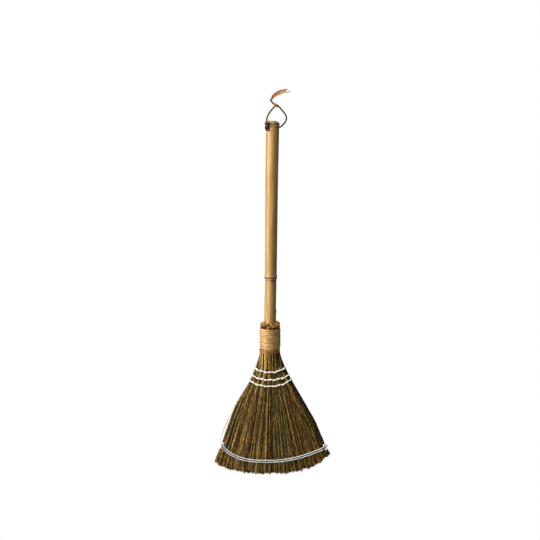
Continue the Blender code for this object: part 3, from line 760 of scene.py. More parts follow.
@dataclass(frozen=True)
class Strands(Growth):
    """Bundles of thin tapering strands, one bundle along each guide line.

    A guide may carry two vectors at each point, across and depth, which say how far its strands stand
    off it to either side.
    """

    root_radius: float
    tip_radius: float
    count: int = 1
    radius_spread: float = 0.2
    wander: float = 0.0
    wander_size: float = 30.0 * MM
    cut: float = 0.0
    sides: int = 3
    tone_low: float = 0.0
    tone_high: float = 1.0
    seed: int = 1

    def shape(self, tree: bpy.types.NodeTree, given: Any) -> bpy.types.Node:
        """Spreads the strands, bends them, cuts them to length, gives each its tone and skins them.

        Args:
            tree: The geometry tree.
            given: The inputs' values, by name.

        Returns:
            The node that gives the surface.
        """
        node = partial(add_node, tree)
        seed, index = given["seed"], own_index(tree)
        guides = node(Kind.MESH_TO_CURVE, given["geometry"])
        many = node(Kind.DUPLICATE, guides, True, given["count"], domain="SPLINE")
        parts = []
        for step, name in enumerate(("across", "depth")):
            reach = node(Kind.NAMED_ATTRIBUTE, name, data_type="FLOAT_VECTOR")
            parts.append(node(Kind.VECTOR_MATH, reach, drawn(tree, -1.0, 1.0, seed, step, index),
                              operation="SCALE"))
        apart = node(Kind.VECTOR_MATH, *parts, operation="ADD")
        factor = node(Kind.SPLINE_PARAMETER).outputs["Factor"]
        per_change = node(Kind.MATH, 1.0, given["wander_size"], operation="DIVIDE")
        place = node(Kind.VECTOR_MATH, node(Kind.POSITION), per_change, operation="SCALE")
        start = node(Kind.RANDOM, (0, 0, 0), (90, 90, 90), index, seed, data_type="FLOAT_VECTOR")
        spot = node(Kind.VECTOR_MATH, place, start, operation="ADD")
        growing = node(Kind.MATH, factor, 1.3, operation="POWER")
        strength = node(Kind.MATH, given["wander"], growing, operation="MULTIPLY")
        offset = node(Kind.VECTOR_MATH, apart, drifted(tree, spot, 2.0, strength), operation="ADD")
        moved = node(Kind.SET_POSITION, many, named={"Offset": offset})
        lost = node(Kind.MATH, drawn(tree, 0.0, 1.0, seed, 5, index), 2.0, operation="POWER")
        shorter = node(Kind.MATH, lost, given["cut"], operation="MULTIPLY")
        end = node(Kind.MATH, 1.0, shorter, operation="SUBTRACT")
        strands = node(Kind.TRIM, moved, True, 0.0, end, mode="FACTOR")
        tone = drawn(tree, given["tone_low"], given["tone_high"], seed, 7, index)
        for name, value in (("tone", tone), ("green", drawn(tree, 0.0, 1.0, seed, 9, index))):
            strands = node(Kind.STORE, strands, True, name, value, domain="CURVE")
        taper = node(Kind.RANGE, factor, 0.0, 1.0, given["root_radius"], given["tip_radius"])
        low, high = (node(Kind.MATH, 1.0, given["radius_spread"], operation=way)
                     for way in ("SUBTRACT", "ADD"))
        own_size = drawn(tree, low, high, seed, 11, index)
        return swept(tree, strands, node(Kind.MATH, taper, own_size, operation="MULTIPLY"), given["sides"])


@dataclass(frozen=True)
class TwistedPlies(Growth):
    """Plies laid round each guide line, as in twisted cord and twine."""

    ply_radius: float
    lay_radius: float
    lay_length: float
    step: float
    unevenness: float
    sides: int
    plies: int = 2
    lump: float = 4.0 * MM

    def shape(self, tree: bpy.types.NodeTree, given: Any) -> bpy.types.Node:
        """Lays the plies in helices, lets their thickness vary and skins them.

        Args:
            tree: The geometry tree.
            given: The inputs' values, by name.

        Returns:
            The node that gives the surface.
        """
        node = partial(add_node, tree)
        path = node(Kind.MESH_TO_CURVE, given["geometry"])
        fine = node(Kind.RESAMPLE, path, True, given["step"], mode="LENGTH")
        many = node(Kind.DUPLICATE, fine, True, given["plies"], domain="SPLINE")
        numbered = node(Kind.STORE, many, True, "ply", many.outputs[1], domain="CURVE")
        ply = node(Kind.NAMED_ATTRIBUTE, "ply")
        run = node(Kind.SPLINE_PARAMETER).outputs["Length"]
        laid = node(Kind.MATH, run, given["lay_length"], operation="DIVIDE")
        start = node(Kind.MATH, ply, given["plies"], operation="DIVIDE")
        turns = node(Kind.MATH, laid, start, operation="ADD")
        angle = node(Kind.MATH, turns, math.tau, operation="MULTIPLY")
        normal = node(Kind.NORMAL)
        binormal = node(Kind.VECTOR_MATH, node(Kind.TANGENT), normal, operation="CROSS_PRODUCT")
        parts = [node(Kind.VECTOR_MATH, way, node(Kind.MATH, angle, operation=wave), operation="SCALE")
                 for way, wave in ((normal, "COSINE"), (binormal, "SINE"))]
        around = node(Kind.VECTOR_MATH, *parts, operation="ADD")
        offset = node(Kind.VECTOR_MATH, around, given["lay_radius"], operation="SCALE")
        moved = node(Kind.SET_POSITION, numbered, named={"Offset": offset})
        along = node(Kind.STORE, moved, True, "run", run)
        place = node(Kind.MATH, run, given["lump"], operation="DIVIDE")
        own_place = node(Kind.MATH, ply, 17.0, place, operation="MULTIPLY_ADD")
        lumps = node(Kind.NOISE, own_place, 1.0, 2.0, noise_dimensions="1D")
        centred = node(Kind.MATH, lumps, 0.5, operation="SUBTRACT")
        swell = node(Kind.MATH, centred, given["unevenness"], operation="MULTIPLY")
        share = node(Kind.MATH, swell, 2.0, 1.0, operation="MULTIPLY_ADD")
        radius = node(Kind.MATH, given["ply_radius"], share, operation="MULTIPLY")
        return swept(tree, along, radius, given["sides"])


@dataclass(frozen=True)
class Winding(Growth):
    """A domed strip wound round the neck, with its tucked end as a ridge across the turns."""

    radius: float
    turns: float
    rise: float
    start_height: float
    axis: float
    width: float
    thickness: float
    ridge_turn: float
    ridge_height: float
    ridge_width: float
    unevenness: float
    seed: float
    change: float = 9.0 * MM
    tuck: float = 0.12

    def shape(self, tree: bpy.types.NodeTree, given: Any) -> bpy.types.Node:
        """Winds the strip, swells it over the tucked end, sinks its ends and skins it.

        Args:
            tree: The geometry tree.
            given: The inputs' values, by name.

        Returns:
            The node that gives the surface.
        """
        node = partial(add_node, tree)
        spiral = node(Kind.SPIRAL, 96, given["turns"], given["radius"], given["radius"], given["rise"])
        upright = node(Kind.SET_NORMAL, spiral, mode="Z_UP")
        place = node(Kind.POSITION)
        level = node(Kind.VECTOR_MATH, place, (1, 1, 0), operation="MULTIPLY")
        out = node(Kind.VECTOR_MATH, level, operation="NORMALIZE")
        ridge_way = node(Kind.COMBINE, *(node(Kind.MATH, given["ridge_turn"], operation=wave)
                                         for wave in ("COSINE", "SINE")))
        away = node(Kind.VECTOR_MATH, out, ridge_way, operation="DISTANCE")
        reach = node(Kind.MATH, away, given["radius"], operation="MULTIPLY")
        off = node(Kind.MATH, reach, given["ridge_width"], operation="DIVIDE")
        square = node(Kind.MATH, off, off, operation="MULTIPLY")
        ridge = node(Kind.MATH, node(Kind.MATH, square, -1.0, operation="MULTIPLY"), operation="EXPONENT")
        factor = node(Kind.SPLINE_PARAMETER).outputs["Factor"]
        left = node(Kind.MATH, 1.0, factor, operation="SUBTRACT")
        edge = node(Kind.MATH, factor, left, operation="MINIMUM")
        turns_left = node(Kind.MATH, edge, given["turns"], operation="MULTIPLY")
        loose = node(Kind.RANGE, turns_left, 0.0, given["tuck"], 1.0, 0.0, interpolation_type="SMOOTHSTEP")
        sunk = node(Kind.MATH, loose, given["thickness"], operation="MULTIPLY")
        raised = node(Kind.MATH, ridge, given["ridge_height"], operation="MULTIPLY")
        swell = node(Kind.MATH, raised, sunk, operation="SUBTRACT")
        own_start = node(Kind.COMBINE, 0.0, 0.0, given["seed"])
        shifted = node(Kind.VECTOR_MATH, place, own_start, operation="ADD")
        per_change = node(Kind.MATH, 1.0, given["change"], operation="DIVIDE")
        spot = node(Kind.VECTOR_MATH, shifted, per_change, operation="SCALE")
        strength = node(Kind.MATH, given["unevenness"], 2.0, operation="MULTIPLY")
        stand = node(Kind.COMBINE, given["axis"], 0.0, given["start_height"])
        settled = node(Kind.VECTOR_MATH, drifted(tree, spot, 1.0, strength), stand, operation="ADD")
        swollen = node(Kind.VECTOR_MATH, out, swell, operation="SCALE")
        offset = node(Kind.VECTOR_MATH, swollen, settled, operation="ADD")
        wound = node(Kind.SET_POSITION, upright, named={"Offset": offset})
        size = node(Kind.COMBINE, given["thickness"], given["width"], 1.0)
        strip = node(Kind.TRANSFORM, node(Kind.CIRCLE, 12, 0.5), named={"Scale": size})
        return node(Kind.CURVE_TO_MESH, wound, strip, 1.0, True)


@dataclass(frozen=True)
class CutStalks(Growth):
    """A hollow cut stalk end on each point."""

    radius: float
    wall: float
    height: float
    lean: float
    seed: int

    def shape(self, tree: bpy.types.NodeTree, given: Any) -> bpy.types.Node:
        """Makes one hollow stalk with its cut and its hollow marked for painted shade, and stands it on every
        point.

        Args:
            tree: The geometry tree.
            given: The inputs' values, by name.

        Returns:
            The node that gives the surface.
        """
        node = partial(add_node, tree)
        section = node(Kind.RECTANGLE, given["wall"], given["height"])
        stalk = node(Kind.CURVE_TO_MESH, node(Kind.CIRCLE, 9, given["radius"]),
                     node(Kind.SUBDIVIDE, section, 4), 1.0)
        place = node(Kind.POSITION)
        level = node(Kind.VECTOR_MATH, place, (1, 1, 0), operation="MULTIPLY")
        reach = node(Kind.VECTOR_MATH, level, operation="LENGTH")
        head = node(Kind.MATH, given["height"], 0.499, operation="MULTIPLY")
        cut = node(Kind.MATH, node(Kind.SEPARATE, place).outputs["Z"], head, operation="GREATER_THAN")
        below = node(Kind.MATH, 1.0, cut, operation="SUBTRACT")
        inside = node(Kind.MATH, reach, given["radius"], operation="LESS_THAN")
        bore = node(Kind.MATH, inside, below, operation="MULTIPLY")
        for name, value in (("cut", cut), ("bore", bore)):
            stalk = node(Kind.STORE, stalk, True, name, value)
        index = node(Kind.INDEX)
        lean = given["lean"]
        back = node(Kind.MATH, lean, -1.0, operation="MULTIPLY")
        lowest, highest = node(Kind.COMBINE, back, back), node(Kind.COMBINE, lean, lean, math.tau)
        turn = node(Kind.RANDOM, lowest, highest, index, given["seed"], data_type="FLOAT_VECTOR")
        next_seed = node(Kind.MATH, given["seed"], 1.0, operation="ADD")
        size = node(Kind.RANDOM, (0.72, 0.72, 0.95), (1.2, 1.2, 1.05), index, next_seed,
                    data_type="FLOAT_VECTOR")
        many = node(Kind.INSTANCES, given["geometry"],
                    named={"Instance": stalk, "Rotation": turn, "Scale": size})
        tone = drawn(tree, 0.0, 1.0, given["seed"], 2, index)
        return node(Kind.STORE, many, True, "tone", tone, domain="INSTANCE")


def between(first: Any, second: Any, share: float) -> Any:
    """A value on the straight way from one value to another."""
    return first + (second - first) * share


def spline(points: Sequence[Vector], per_span: int) -> list[Vector]:
    """Points on a smooth curve through the given ones.

    Args:
        points: The places that the curve passes through.
        per_span: How many points it has from each place to the next.

    Returns:
        The curve's points.
    """
    places = [2 * points[0] - points[1], *points, 2 * points[-1] - points[-2]]
    fine = []
    for a, b, c, d in zip(places, places[1:], places[2:], places[3:]):
        for k in range(per_span):
            t = k / per_span
            fine.append(0.5 * (2 * b + (c - a) * t + (2 * a - 5 * b + 4 * c - d) * t**2
                               + (3 * b - a - 3 * c + d) * t**3))
    return fine + [places[-2]]


def route(points: Iterable[Sequence[float]]) -> list[Vector]:
    """A given route in millimetres, as points in metres."""
    return [Vector(point) * MM for point in points]


def bump_at(value: float, centre: float, width: float) -> float:
    """A smooth bump of height one round a centre."""
    return math.exp(-((value - centre) / width) ** 2)


def turn_apart(angle: float, other: float) -> float:
    """The turn from one angle to another by the short way."""
    return math.atan2(math.sin(angle - other), math.cos(angle - other))


def trefoil(centre: Vector, half_size: Vector, turn: float = 0.0, count: int = 48) -> list[Vector]:
    """A closed overhand knot.

    Args:
        centre: Its middle.
        half_size: Half its extent along X, Y and Z before it is turned.
        turn: Its turn about the vertical.
        count: How many points it has.

    Returns:
        The knot's path, which ends where it starts.
    """
    path = []
    for i in range(count + 1):
        t = i * math.tau / count
        unit = Vector(((math.sin(t) + 2 * math.sin(2 * t)) / 2.64, -math.sin(3 * t),
                       (math.cos(t) - 2 * math.cos(2 * t) + 0.47) / 2.53))
        placed = Vector([a * b for a, b in zip(unit, half_size)])
        path.append(centre + Matrix.Rotation(turn, 3, "Z") @ placed)
    return path


def wrap(start: Vector, end: Vector, radius: float, turns: float, per_turn: int = 14) -> list[Vector]:
    """A helix round the straight way between two places.

    Args:
        start: Where it begins.
        end: Where it ends.
        radius: How far it stands off the way.
        turns: How often it goes round.
        per_turn: How many points each turn has.

    Returns:
        The helix.
    """
    along = end - start
    frame_turn = along.to_track_quat("Z", "Y").to_matrix()
    count = int(turns * per_turn)
    path = []
    for i in range(count + 1):
        t = i / count
        angle = t * turns * math.tau
        path.append(start + along * t + frame_turn @ Vector((math.cos(angle), math.sin(angle), 0)) * radius)
    return path


@dataclass(frozen=True)
class Lamp:
    """A square soft box."""

    name: str
    place: tuple[float, float, float]
    size: float
    power: float
    colour: str

    def hang(self, target: Vector) -> None:
        """Hangs the lamp so that it faces a target.

        Args:
            target: What it faces.
        """
        data = bpy.data.lights.new(self.name, "AREA")
        data.shape = "SQUARE"
        data.size = self.size
        data.energy = self.power
        data.color = linear(self.colour)[:3]
        item = bpy.data.objects.new(self.name, data)
        item.location = self.place
        item.rotation_euler = (target - Vector(self.place)).to_track_quat("-Z", "Y").to_euler()
        item.visible_camera = False
        bpy.context.scene.collection.objects.link(item)


@dataclass
class Studio:
    """Plain soft light, a pale seamless floor and the camera."""

    distance: float = 2.5
    focal_pixels: float = 1250.0
    frame_pixels: float = 540.0
    drop_pixels: float = 149.5
    sensor: float = 36.0
    side: float = -14.0 * MM
    floor_depth: float = 0.62
    floor_reach: float = 5.0
    bend_radius: float = 1.6
    bend_steps: int = 10
    surround: float = 0.1
    lamps: tuple[Lamp, ...] = (
        Lamp("key_light", (-2.55, -1.05, 0.25), 1.0, 118.0, "#fff8ee"),
        Lamp("strip_light", (-1.9, -2.1, 0.1), 0.5, 19.0, "#fffaf4"),
        Lamp("top_light", (-0.2, -0.45, 1.9), 0.9, 44.0, "#ffffff"),
        Lamp("back_light", (0.2, 2.6, 1.6), 1.4, 40.0, "#ffffff"))

    def camera(self, level: float) -> None:
        """Sets the camera level with the handle's top and tips it down to the broom.

        Args:
            level: The height of the handle's top.
        """
        data = bpy.data.cameras.new("camera")
        data.sensor_width = self.sensor
        data.lens = self.focal_pixels / self.frame_pixels * self.sensor
        eye = bpy.data.objects.new("camera", data)
        eye.location = (self.side, -self.distance, level)
        eye.rotation_euler = (math.pi / 2 - math.atan(self.drop_pixels / self.focal_pixels), 0, 0)
        bpy.context.scene.collection.objects.link(eye)
        bpy.context.scene.camera = eye

    def backdrop(self, lowest: float) -> None:
        """A floor that bends up into a wall behind the broom, and that the eye sees as plain white.

        Args:
            lowest: The height of the lowest straw.
        """
        level = lowest - self.floor_depth
        wall = self.floor_reach - self.bend_radius
        bends = [i * math.pi / 2 / self.bend_steps for i in range(self.bend_steps + 1)]
        profile = [(-self.floor_reach, level),
                   *((wall + self.bend_radius * math.sin(a), level + self.bend_radius * (1 - math.cos(a)))
                     for a in bends),
                   (self.floor_reach, level + self.floor_reach)]
        mesh = bpy.data.meshes.new("studio_floor")
        points = [(x, y, z) for y, z in profile for x in (-self.floor_reach, self.floor_reach)]
        faces = [(2 * i, 2 * i + 1, 2 * i + 3, 2 * i + 2) for i in range(len(profile) - 1)]
        mesh.from_pydata(points, [], faces)
        mesh.shade_smooth()
        paper = bpy.data.materials.new("white_paper")
        paper.use_nodes = True
        tree = paper.node_tree
        tree.nodes.clear()
        lit = add_node(tree, Kind.PRINCIPLED, named={"Base Color": "#a8a49c", "Roughness": 0.9})
        glow = add_node(tree, Kind.EMISSION, "#ffffff", 1.0)
        rays = add_node(tree, Kind.LIGHT_PATH).outputs["Is Camera Ray"]
        add_node(tree, Kind.MATERIAL_OUTPUT, add_node(tree, Kind.MIX_SHADER, rays, lit, glow))
        mesh.materials.append(paper)
        linked("studio_floor", mesh)

    def world(self) -> None:
        """A white surround for the eye that lights the broom only dimly."""
        world = bpy.data.worlds.new("studio_world")
        world.use_nodes = True
        tree = world.node_tree
        tree.nodes.clear()
        dim, bright = (add_node(tree, Kind.BACKGROUND, "#ffffff", strength)
                       for strength in (self.surround, 1.0))
        rays = add_node(tree, Kind.LIGHT_PATH).outputs["Is Camera Ray"]
        add_node(tree, Kind.WORLD_OUTPUT, add_node(tree, Kind.MIX_SHADER, rays, dim, bright))
        bpy.context.scene.world = world

    def build(self, top: float, lowest: float) -> None:
        """Sets everything up round the broom.

        Args:
            top: The height of the handle's top.
            lowest: The height of the lowest straw.
        """
        self.camera(top)
        for lamp in self.lamps:
            lamp.hang(Vector((self.side, 0, (top + lowest) / 2)))
        self.backdrop(lowest)
        self.world()
        bpy.context.scene.view_settings.view_transform = "Standard"


@dataclass
class Places:
    """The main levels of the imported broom."""

    neck_height: float = 52.0 * MM
    fan_length: float = 253.5 * MM
    axis: float = field(init=False)
    neck_bottom: float = field(init=False)
    handle_top: float = field(init=False)
    handle_low: float = field(init=False)

    def __post_init__(self) -> None:
        """Reads the levels from the frame."""
        low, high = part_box("cane_hoop")
        self.axis = (low.x + high.x) / 2
        self.neck_bottom = low.z
        low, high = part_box("bamboo_handle")
        self.handle_top = high.z
        self.handle_low = low.z

    @property
    def neck_top(self) -> float:
        """The height where the bound neck ends and the butts stand out."""
        return self.neck_bottom + self.neck_height

    @property
    def tips(self) -> float:
        """The height of the lowest straw tips."""
        return self.neck_bottom - self.fan_length


class Band(NamedTuple):
    """One swelling, groove or stain round a bamboo node, in millimetres."""

    place: float
    width: float
    swell: float = 0.0
    scar: float = 0.0
    pale: float = 0.0


class Bud(NamedTuple):
    """A bud or a spot on the culm: its turn, its rise over the neck in millimetres and its size."""

    turn: float
    rise: float
    half_turn: float
    half_height: float
    swell: float
    dark: float


@dataclass
class BambooHandle:
    """The bamboo culm, with its nodes, its scars, its hollow top and the hole for the cord."""

    places: Places
    top_radius: float = 13.1 * MM
    waist_radius: float = 12.1 * MM
    low_radius: float = 11.5 * MM
    neck_radius: float = 11.9 * MM
    top_node_drop: float = 8.5 * MM
    low_node_rise: float = 99.0 * MM
    bands: tuple[Band, ...] = (
        Band(2.4, 3.4, swell=0.765), Band(-1.1, 0.9, swell=0.9), Band(0.5, 0.55, swell=-0.675),
        Band(0.9, 1.15, scar=0.9), Band(-3.6, 0.8, scar=0.7), Band(3.2, 2.6, scar=0.2),
        Band(-1.5, 0.8, pale=0.55))
    buds: tuple[Bud, ...] = (
        Bud(-1.35, 94.4, 0.16, 2.2, 0.35, 0.9), Bud(-0.15, 32.0, 0.32, 4.2, 0.9, 0.35),
        Bud(3.25, 47.0, 0.5, 6.0, 0.5, 0.0), Bud(-1.75, 58.0, 0.08, 1.3, -0.1, 0.7),
        Bud(-0.9, 219.0, 0.07, 1.1, -0.1, 0.6))
    bow: float = 5.2 * MM
    bow_shares: tuple = ((0.0, 0.0), (0.09, 0.04), (0.2, 0.2), (0.42, 0.36), (0.6, 0.5), (0.76, 0.66),
                         (1.0, 1.0))
    waves: tuple = metres(0.4, 0.35)
    uneven: float = 0.16 * MM
    uneven_turn: float = 1.2
    uneven_length: float = 60.0 * MM
    ribs: float = 0.05 * MM
    wall: float = 5.5 * MM
    recess: float = 4.0 * MM
    edge: float = 0.8 * MM
    chip_drop: float = 4.4 * MM
    chip_turn: float = -0.15
    chip_width: float = 0.75
    chip_reach: float = 6.5 * MM
    hole_drop: float = 14.0 * MM
    hole_radius: float = 2.2 * MM
    segments: int = 72
    step: float = 2.2 * MM
    node_step: float = 0.35 * MM
    node_reach: float = 9.0 * MM

    @property
    def nodes(self) -> tuple[float, float]:
        """The heights of the upper and the lower node."""
        return self.places.handle_top - self.top_node_drop, self.places.neck_top + self.low_node_rise

    def centre(self, height: float) -> float:
        """The culm's middle at a height.

        Args:
            height: The height.

        Returns:
            Its place along X, which leaves the binding's axis as the culm bows to the right.
        """
        span = self.places.handle_top - self.places.neck_top
        share = max(0.0, height - self.places.neck_top) / span
        for (low, first), (high, second) in zip(self.bow_shares, self.bow_shares[1:]):
            if share <= high:
                return self.places.axis + self.bow * between(first, second, (share - low) / (high - low))
        return self.places.axis + self.bow

    def plain_radius(self, height: float) -> float:
        """The culm's radius without its nodes.

        Args:
            height: The height.

        Returns:
            The radius.
        """
        upper, lower = self.nodes
        if height > lower:
            return between(self.waist_radius, self.top_radius, min(1.0, (height - lower) / (upper - lower)))
        share = max(0.0, (lower - height) / (lower - self.places.neck_top))
        return between(self.low_radius, self.neck_radius, min(1.0, share))

    def skin(self, height: float, angle: float) -> tuple[float, float, float]:
        """The skin's shape and marks at one place.

        Args:
            height: The place's height.
            angle: The place's angle, from the right and counter-clockwise seen from above.

        Returns:
            The skin's radius, how dark it is scarred and how pale it is rubbed.
        """
        spot = Vector((math.cos(angle) * self.uneven_turn, math.sin(angle) * self.uneven_turn,
                       height / self.uneven_length))
        radius = self.plain_radius(height) + self.uneven * noise.noise(spot) + self.ribs * math.cos(5 * angle)
        scar, pale, stain = 0.0, 0.0, 0.0
        for number, level in enumerate(self.nodes):
            wave = self.waves[0] * math.sin(angle * 2 + number)
            wave += self.waves[1] * math.cos(angle + 2.1 * number)
            for band in self.bands:
                share = bump_at(height - level - wave, band.place * MM, band.width * MM)
                radius += band.swell * MM * share
                scar += band.scar * share
                pale += band.pale * share
        for bud in self.buds:
            rise = height - self.places.neck_top
            share = bump_at(turn_apart(angle, bud.turn), 0.0, bud.half_turn)
            share *= bump_at(rise, bud.rise * MM, bud.half_height * MM)
            radius += bud.swell * MM * share
            stain += bud.dark * share
        return radius, min(1.0, min(1.0, scar) + min(1.0, stain)), min(1.0, pale)

    def chip(self, height: float, angle: float) -> float:
        """How far the worn rim on the culm's right lies below the straight cut.

        Args:
            height: The place's height.
            angle: The place's angle round the culm.

        Returns:
            The drop.
        """
        away = turn_apart(angle, self.chip_turn)
        near = max(0.0, 1 - (self.places.handle_top - height) / self.chip_reach)
        return self.chip_drop * bump_at(away, 0.0, self.chip_width) * near

    def heights(self) -> list[float]:
        """The skin's ring heights from the top down, close together at the nodes.

        Returns:
            The heights.
        """
        rings = []
        height = self.places.handle_top - self.edge
        while height > self.places.handle_low:
            rings.append(height)
            near = min(abs(height - level) for level in self.nodes)
            height -= self.node_step if near < self.node_reach else self.step
        return rings + [self.places.handle_low]

    def ring(self, bm: bmesh.types.BMesh, height: float, cut_radius: float = 0.0,
             cut: float = 0.0) -> list[bmesh.types.BMVert]:
        """One closed ring of points with its marks.

        Args:
            bm: The culm in the making.
            height: The ring's height.
            cut_radius: Its radius where it lies on the cut end.
            cut: How much it shows the cut wood, or nothing on the skin.

        Returns:
            The ring's points.
        """
        made = []
        for i in range(self.segments):
            angle = i * math.tau / self.segments
            reach, scar, pale = (cut_radius, 0.0, 0.0) if cut else self.skin(height, angle)
            vert = bm.verts.new((self.centre(height) + reach * math.cos(angle), reach * math.sin(angle),
                                 height - self.chip(height, angle)))
            for name, value in (("scar", scar), ("pale", pale), ("cut", cut)):
                vert[bm.verts.layers.float[name]] = value
            made.append(vert)
        return made

    def mesh(self) -> bpy.types.Mesh:
        """The culm as one closed skin with its attributes for the finish.

        Returns:
            The mesh.
        """
        bm = bmesh.new()
        for name in ("scar", "pale", "cut"):
            bm.verts.layers.float.new(name)
        top, inner = self.places.handle_top, self.top_radius - self.wall
        loops = [self.ring(bm, top - drop, radius, cut) for drop, radius, cut in (
            (self.recess, inner * 0.9, 0.6), (self.recess, inner, 0.6), (0.2 * MM, inner, 0.9),
            (0.0, inner + 0.3 * MM, 1.0), (0.0, self.top_radius - self.edge * 0.9, 1.0),
            (self.edge * 0.3, self.top_radius - self.edge * 0.3, 0.5))]
        loops += [self.ring(bm, height) for height in self.heights()]
        for upper, lower in zip(loops, loops[1:]):
            for i in range(self.segments):
                j = (i + 1) % self.segments
                bm.faces.new((upper[i], lower[i], lower[j], upper[j]))
        for loop in (loops[0], loops[-1]):
            bm.faces.new(loop)
        bmesh.ops.recalc_face_normals(bm, faces=bm.faces)
        mesh = bpy.data.meshes.new("bamboo_culm")
        bm.to_mesh(mesh)
        bm.free()
        mesh.shade_smooth()
        mesh.set_sharp_from_angle(angle=math.radians(50))
        return mesh

    def build(self) -> None:
        """Makes the culm, cuts the cord hole and dresses it."""
        culm = linked("bamboo_culm", self.mesh())
        culm.data.materials.append(BAMBOO.material())
        height = self.places.handle_top - self.hole_drop
        bpy.ops.mesh.primitive_cylinder_add(vertices=20, radius=self.hole_radius, depth=self.top_radius * 2.6)
        drill = bpy.context.active_object
        across = Vector((math.cos(HOLE_TURN), math.sin(HOLE_TURN), 0))
        turn = across.to_track_quat("Z", "Y").to_matrix().to_4x4()
        drill.matrix_world = Matrix.Translation((self.centre(height), 0, height)) @ turn
        cut = culm.modifiers.new("cord_hole", "BOOLEAN")
        cut.operation = "DIFFERENCE"
        cut.object = drill
        bpy.context.view_layer.update()
        mesh = bpy.data.meshes.new_from_object(culm.evaluated_get(bpy.context.evaluated_depsgraph_get()))
        culm.modifiers.clear()
        culm.data = mesh
        bpy.data.objects.remove(drill, do_unlink=True)
        dress(culm, Body.BROOM, BAMBOO, "bamboo_handle")


class Level(NamedTuple):
    """A level of the fan: its drop below the neck and its reach to the left, the right and the front."""

    drop: float
    left: float
    right: float
    depth: float


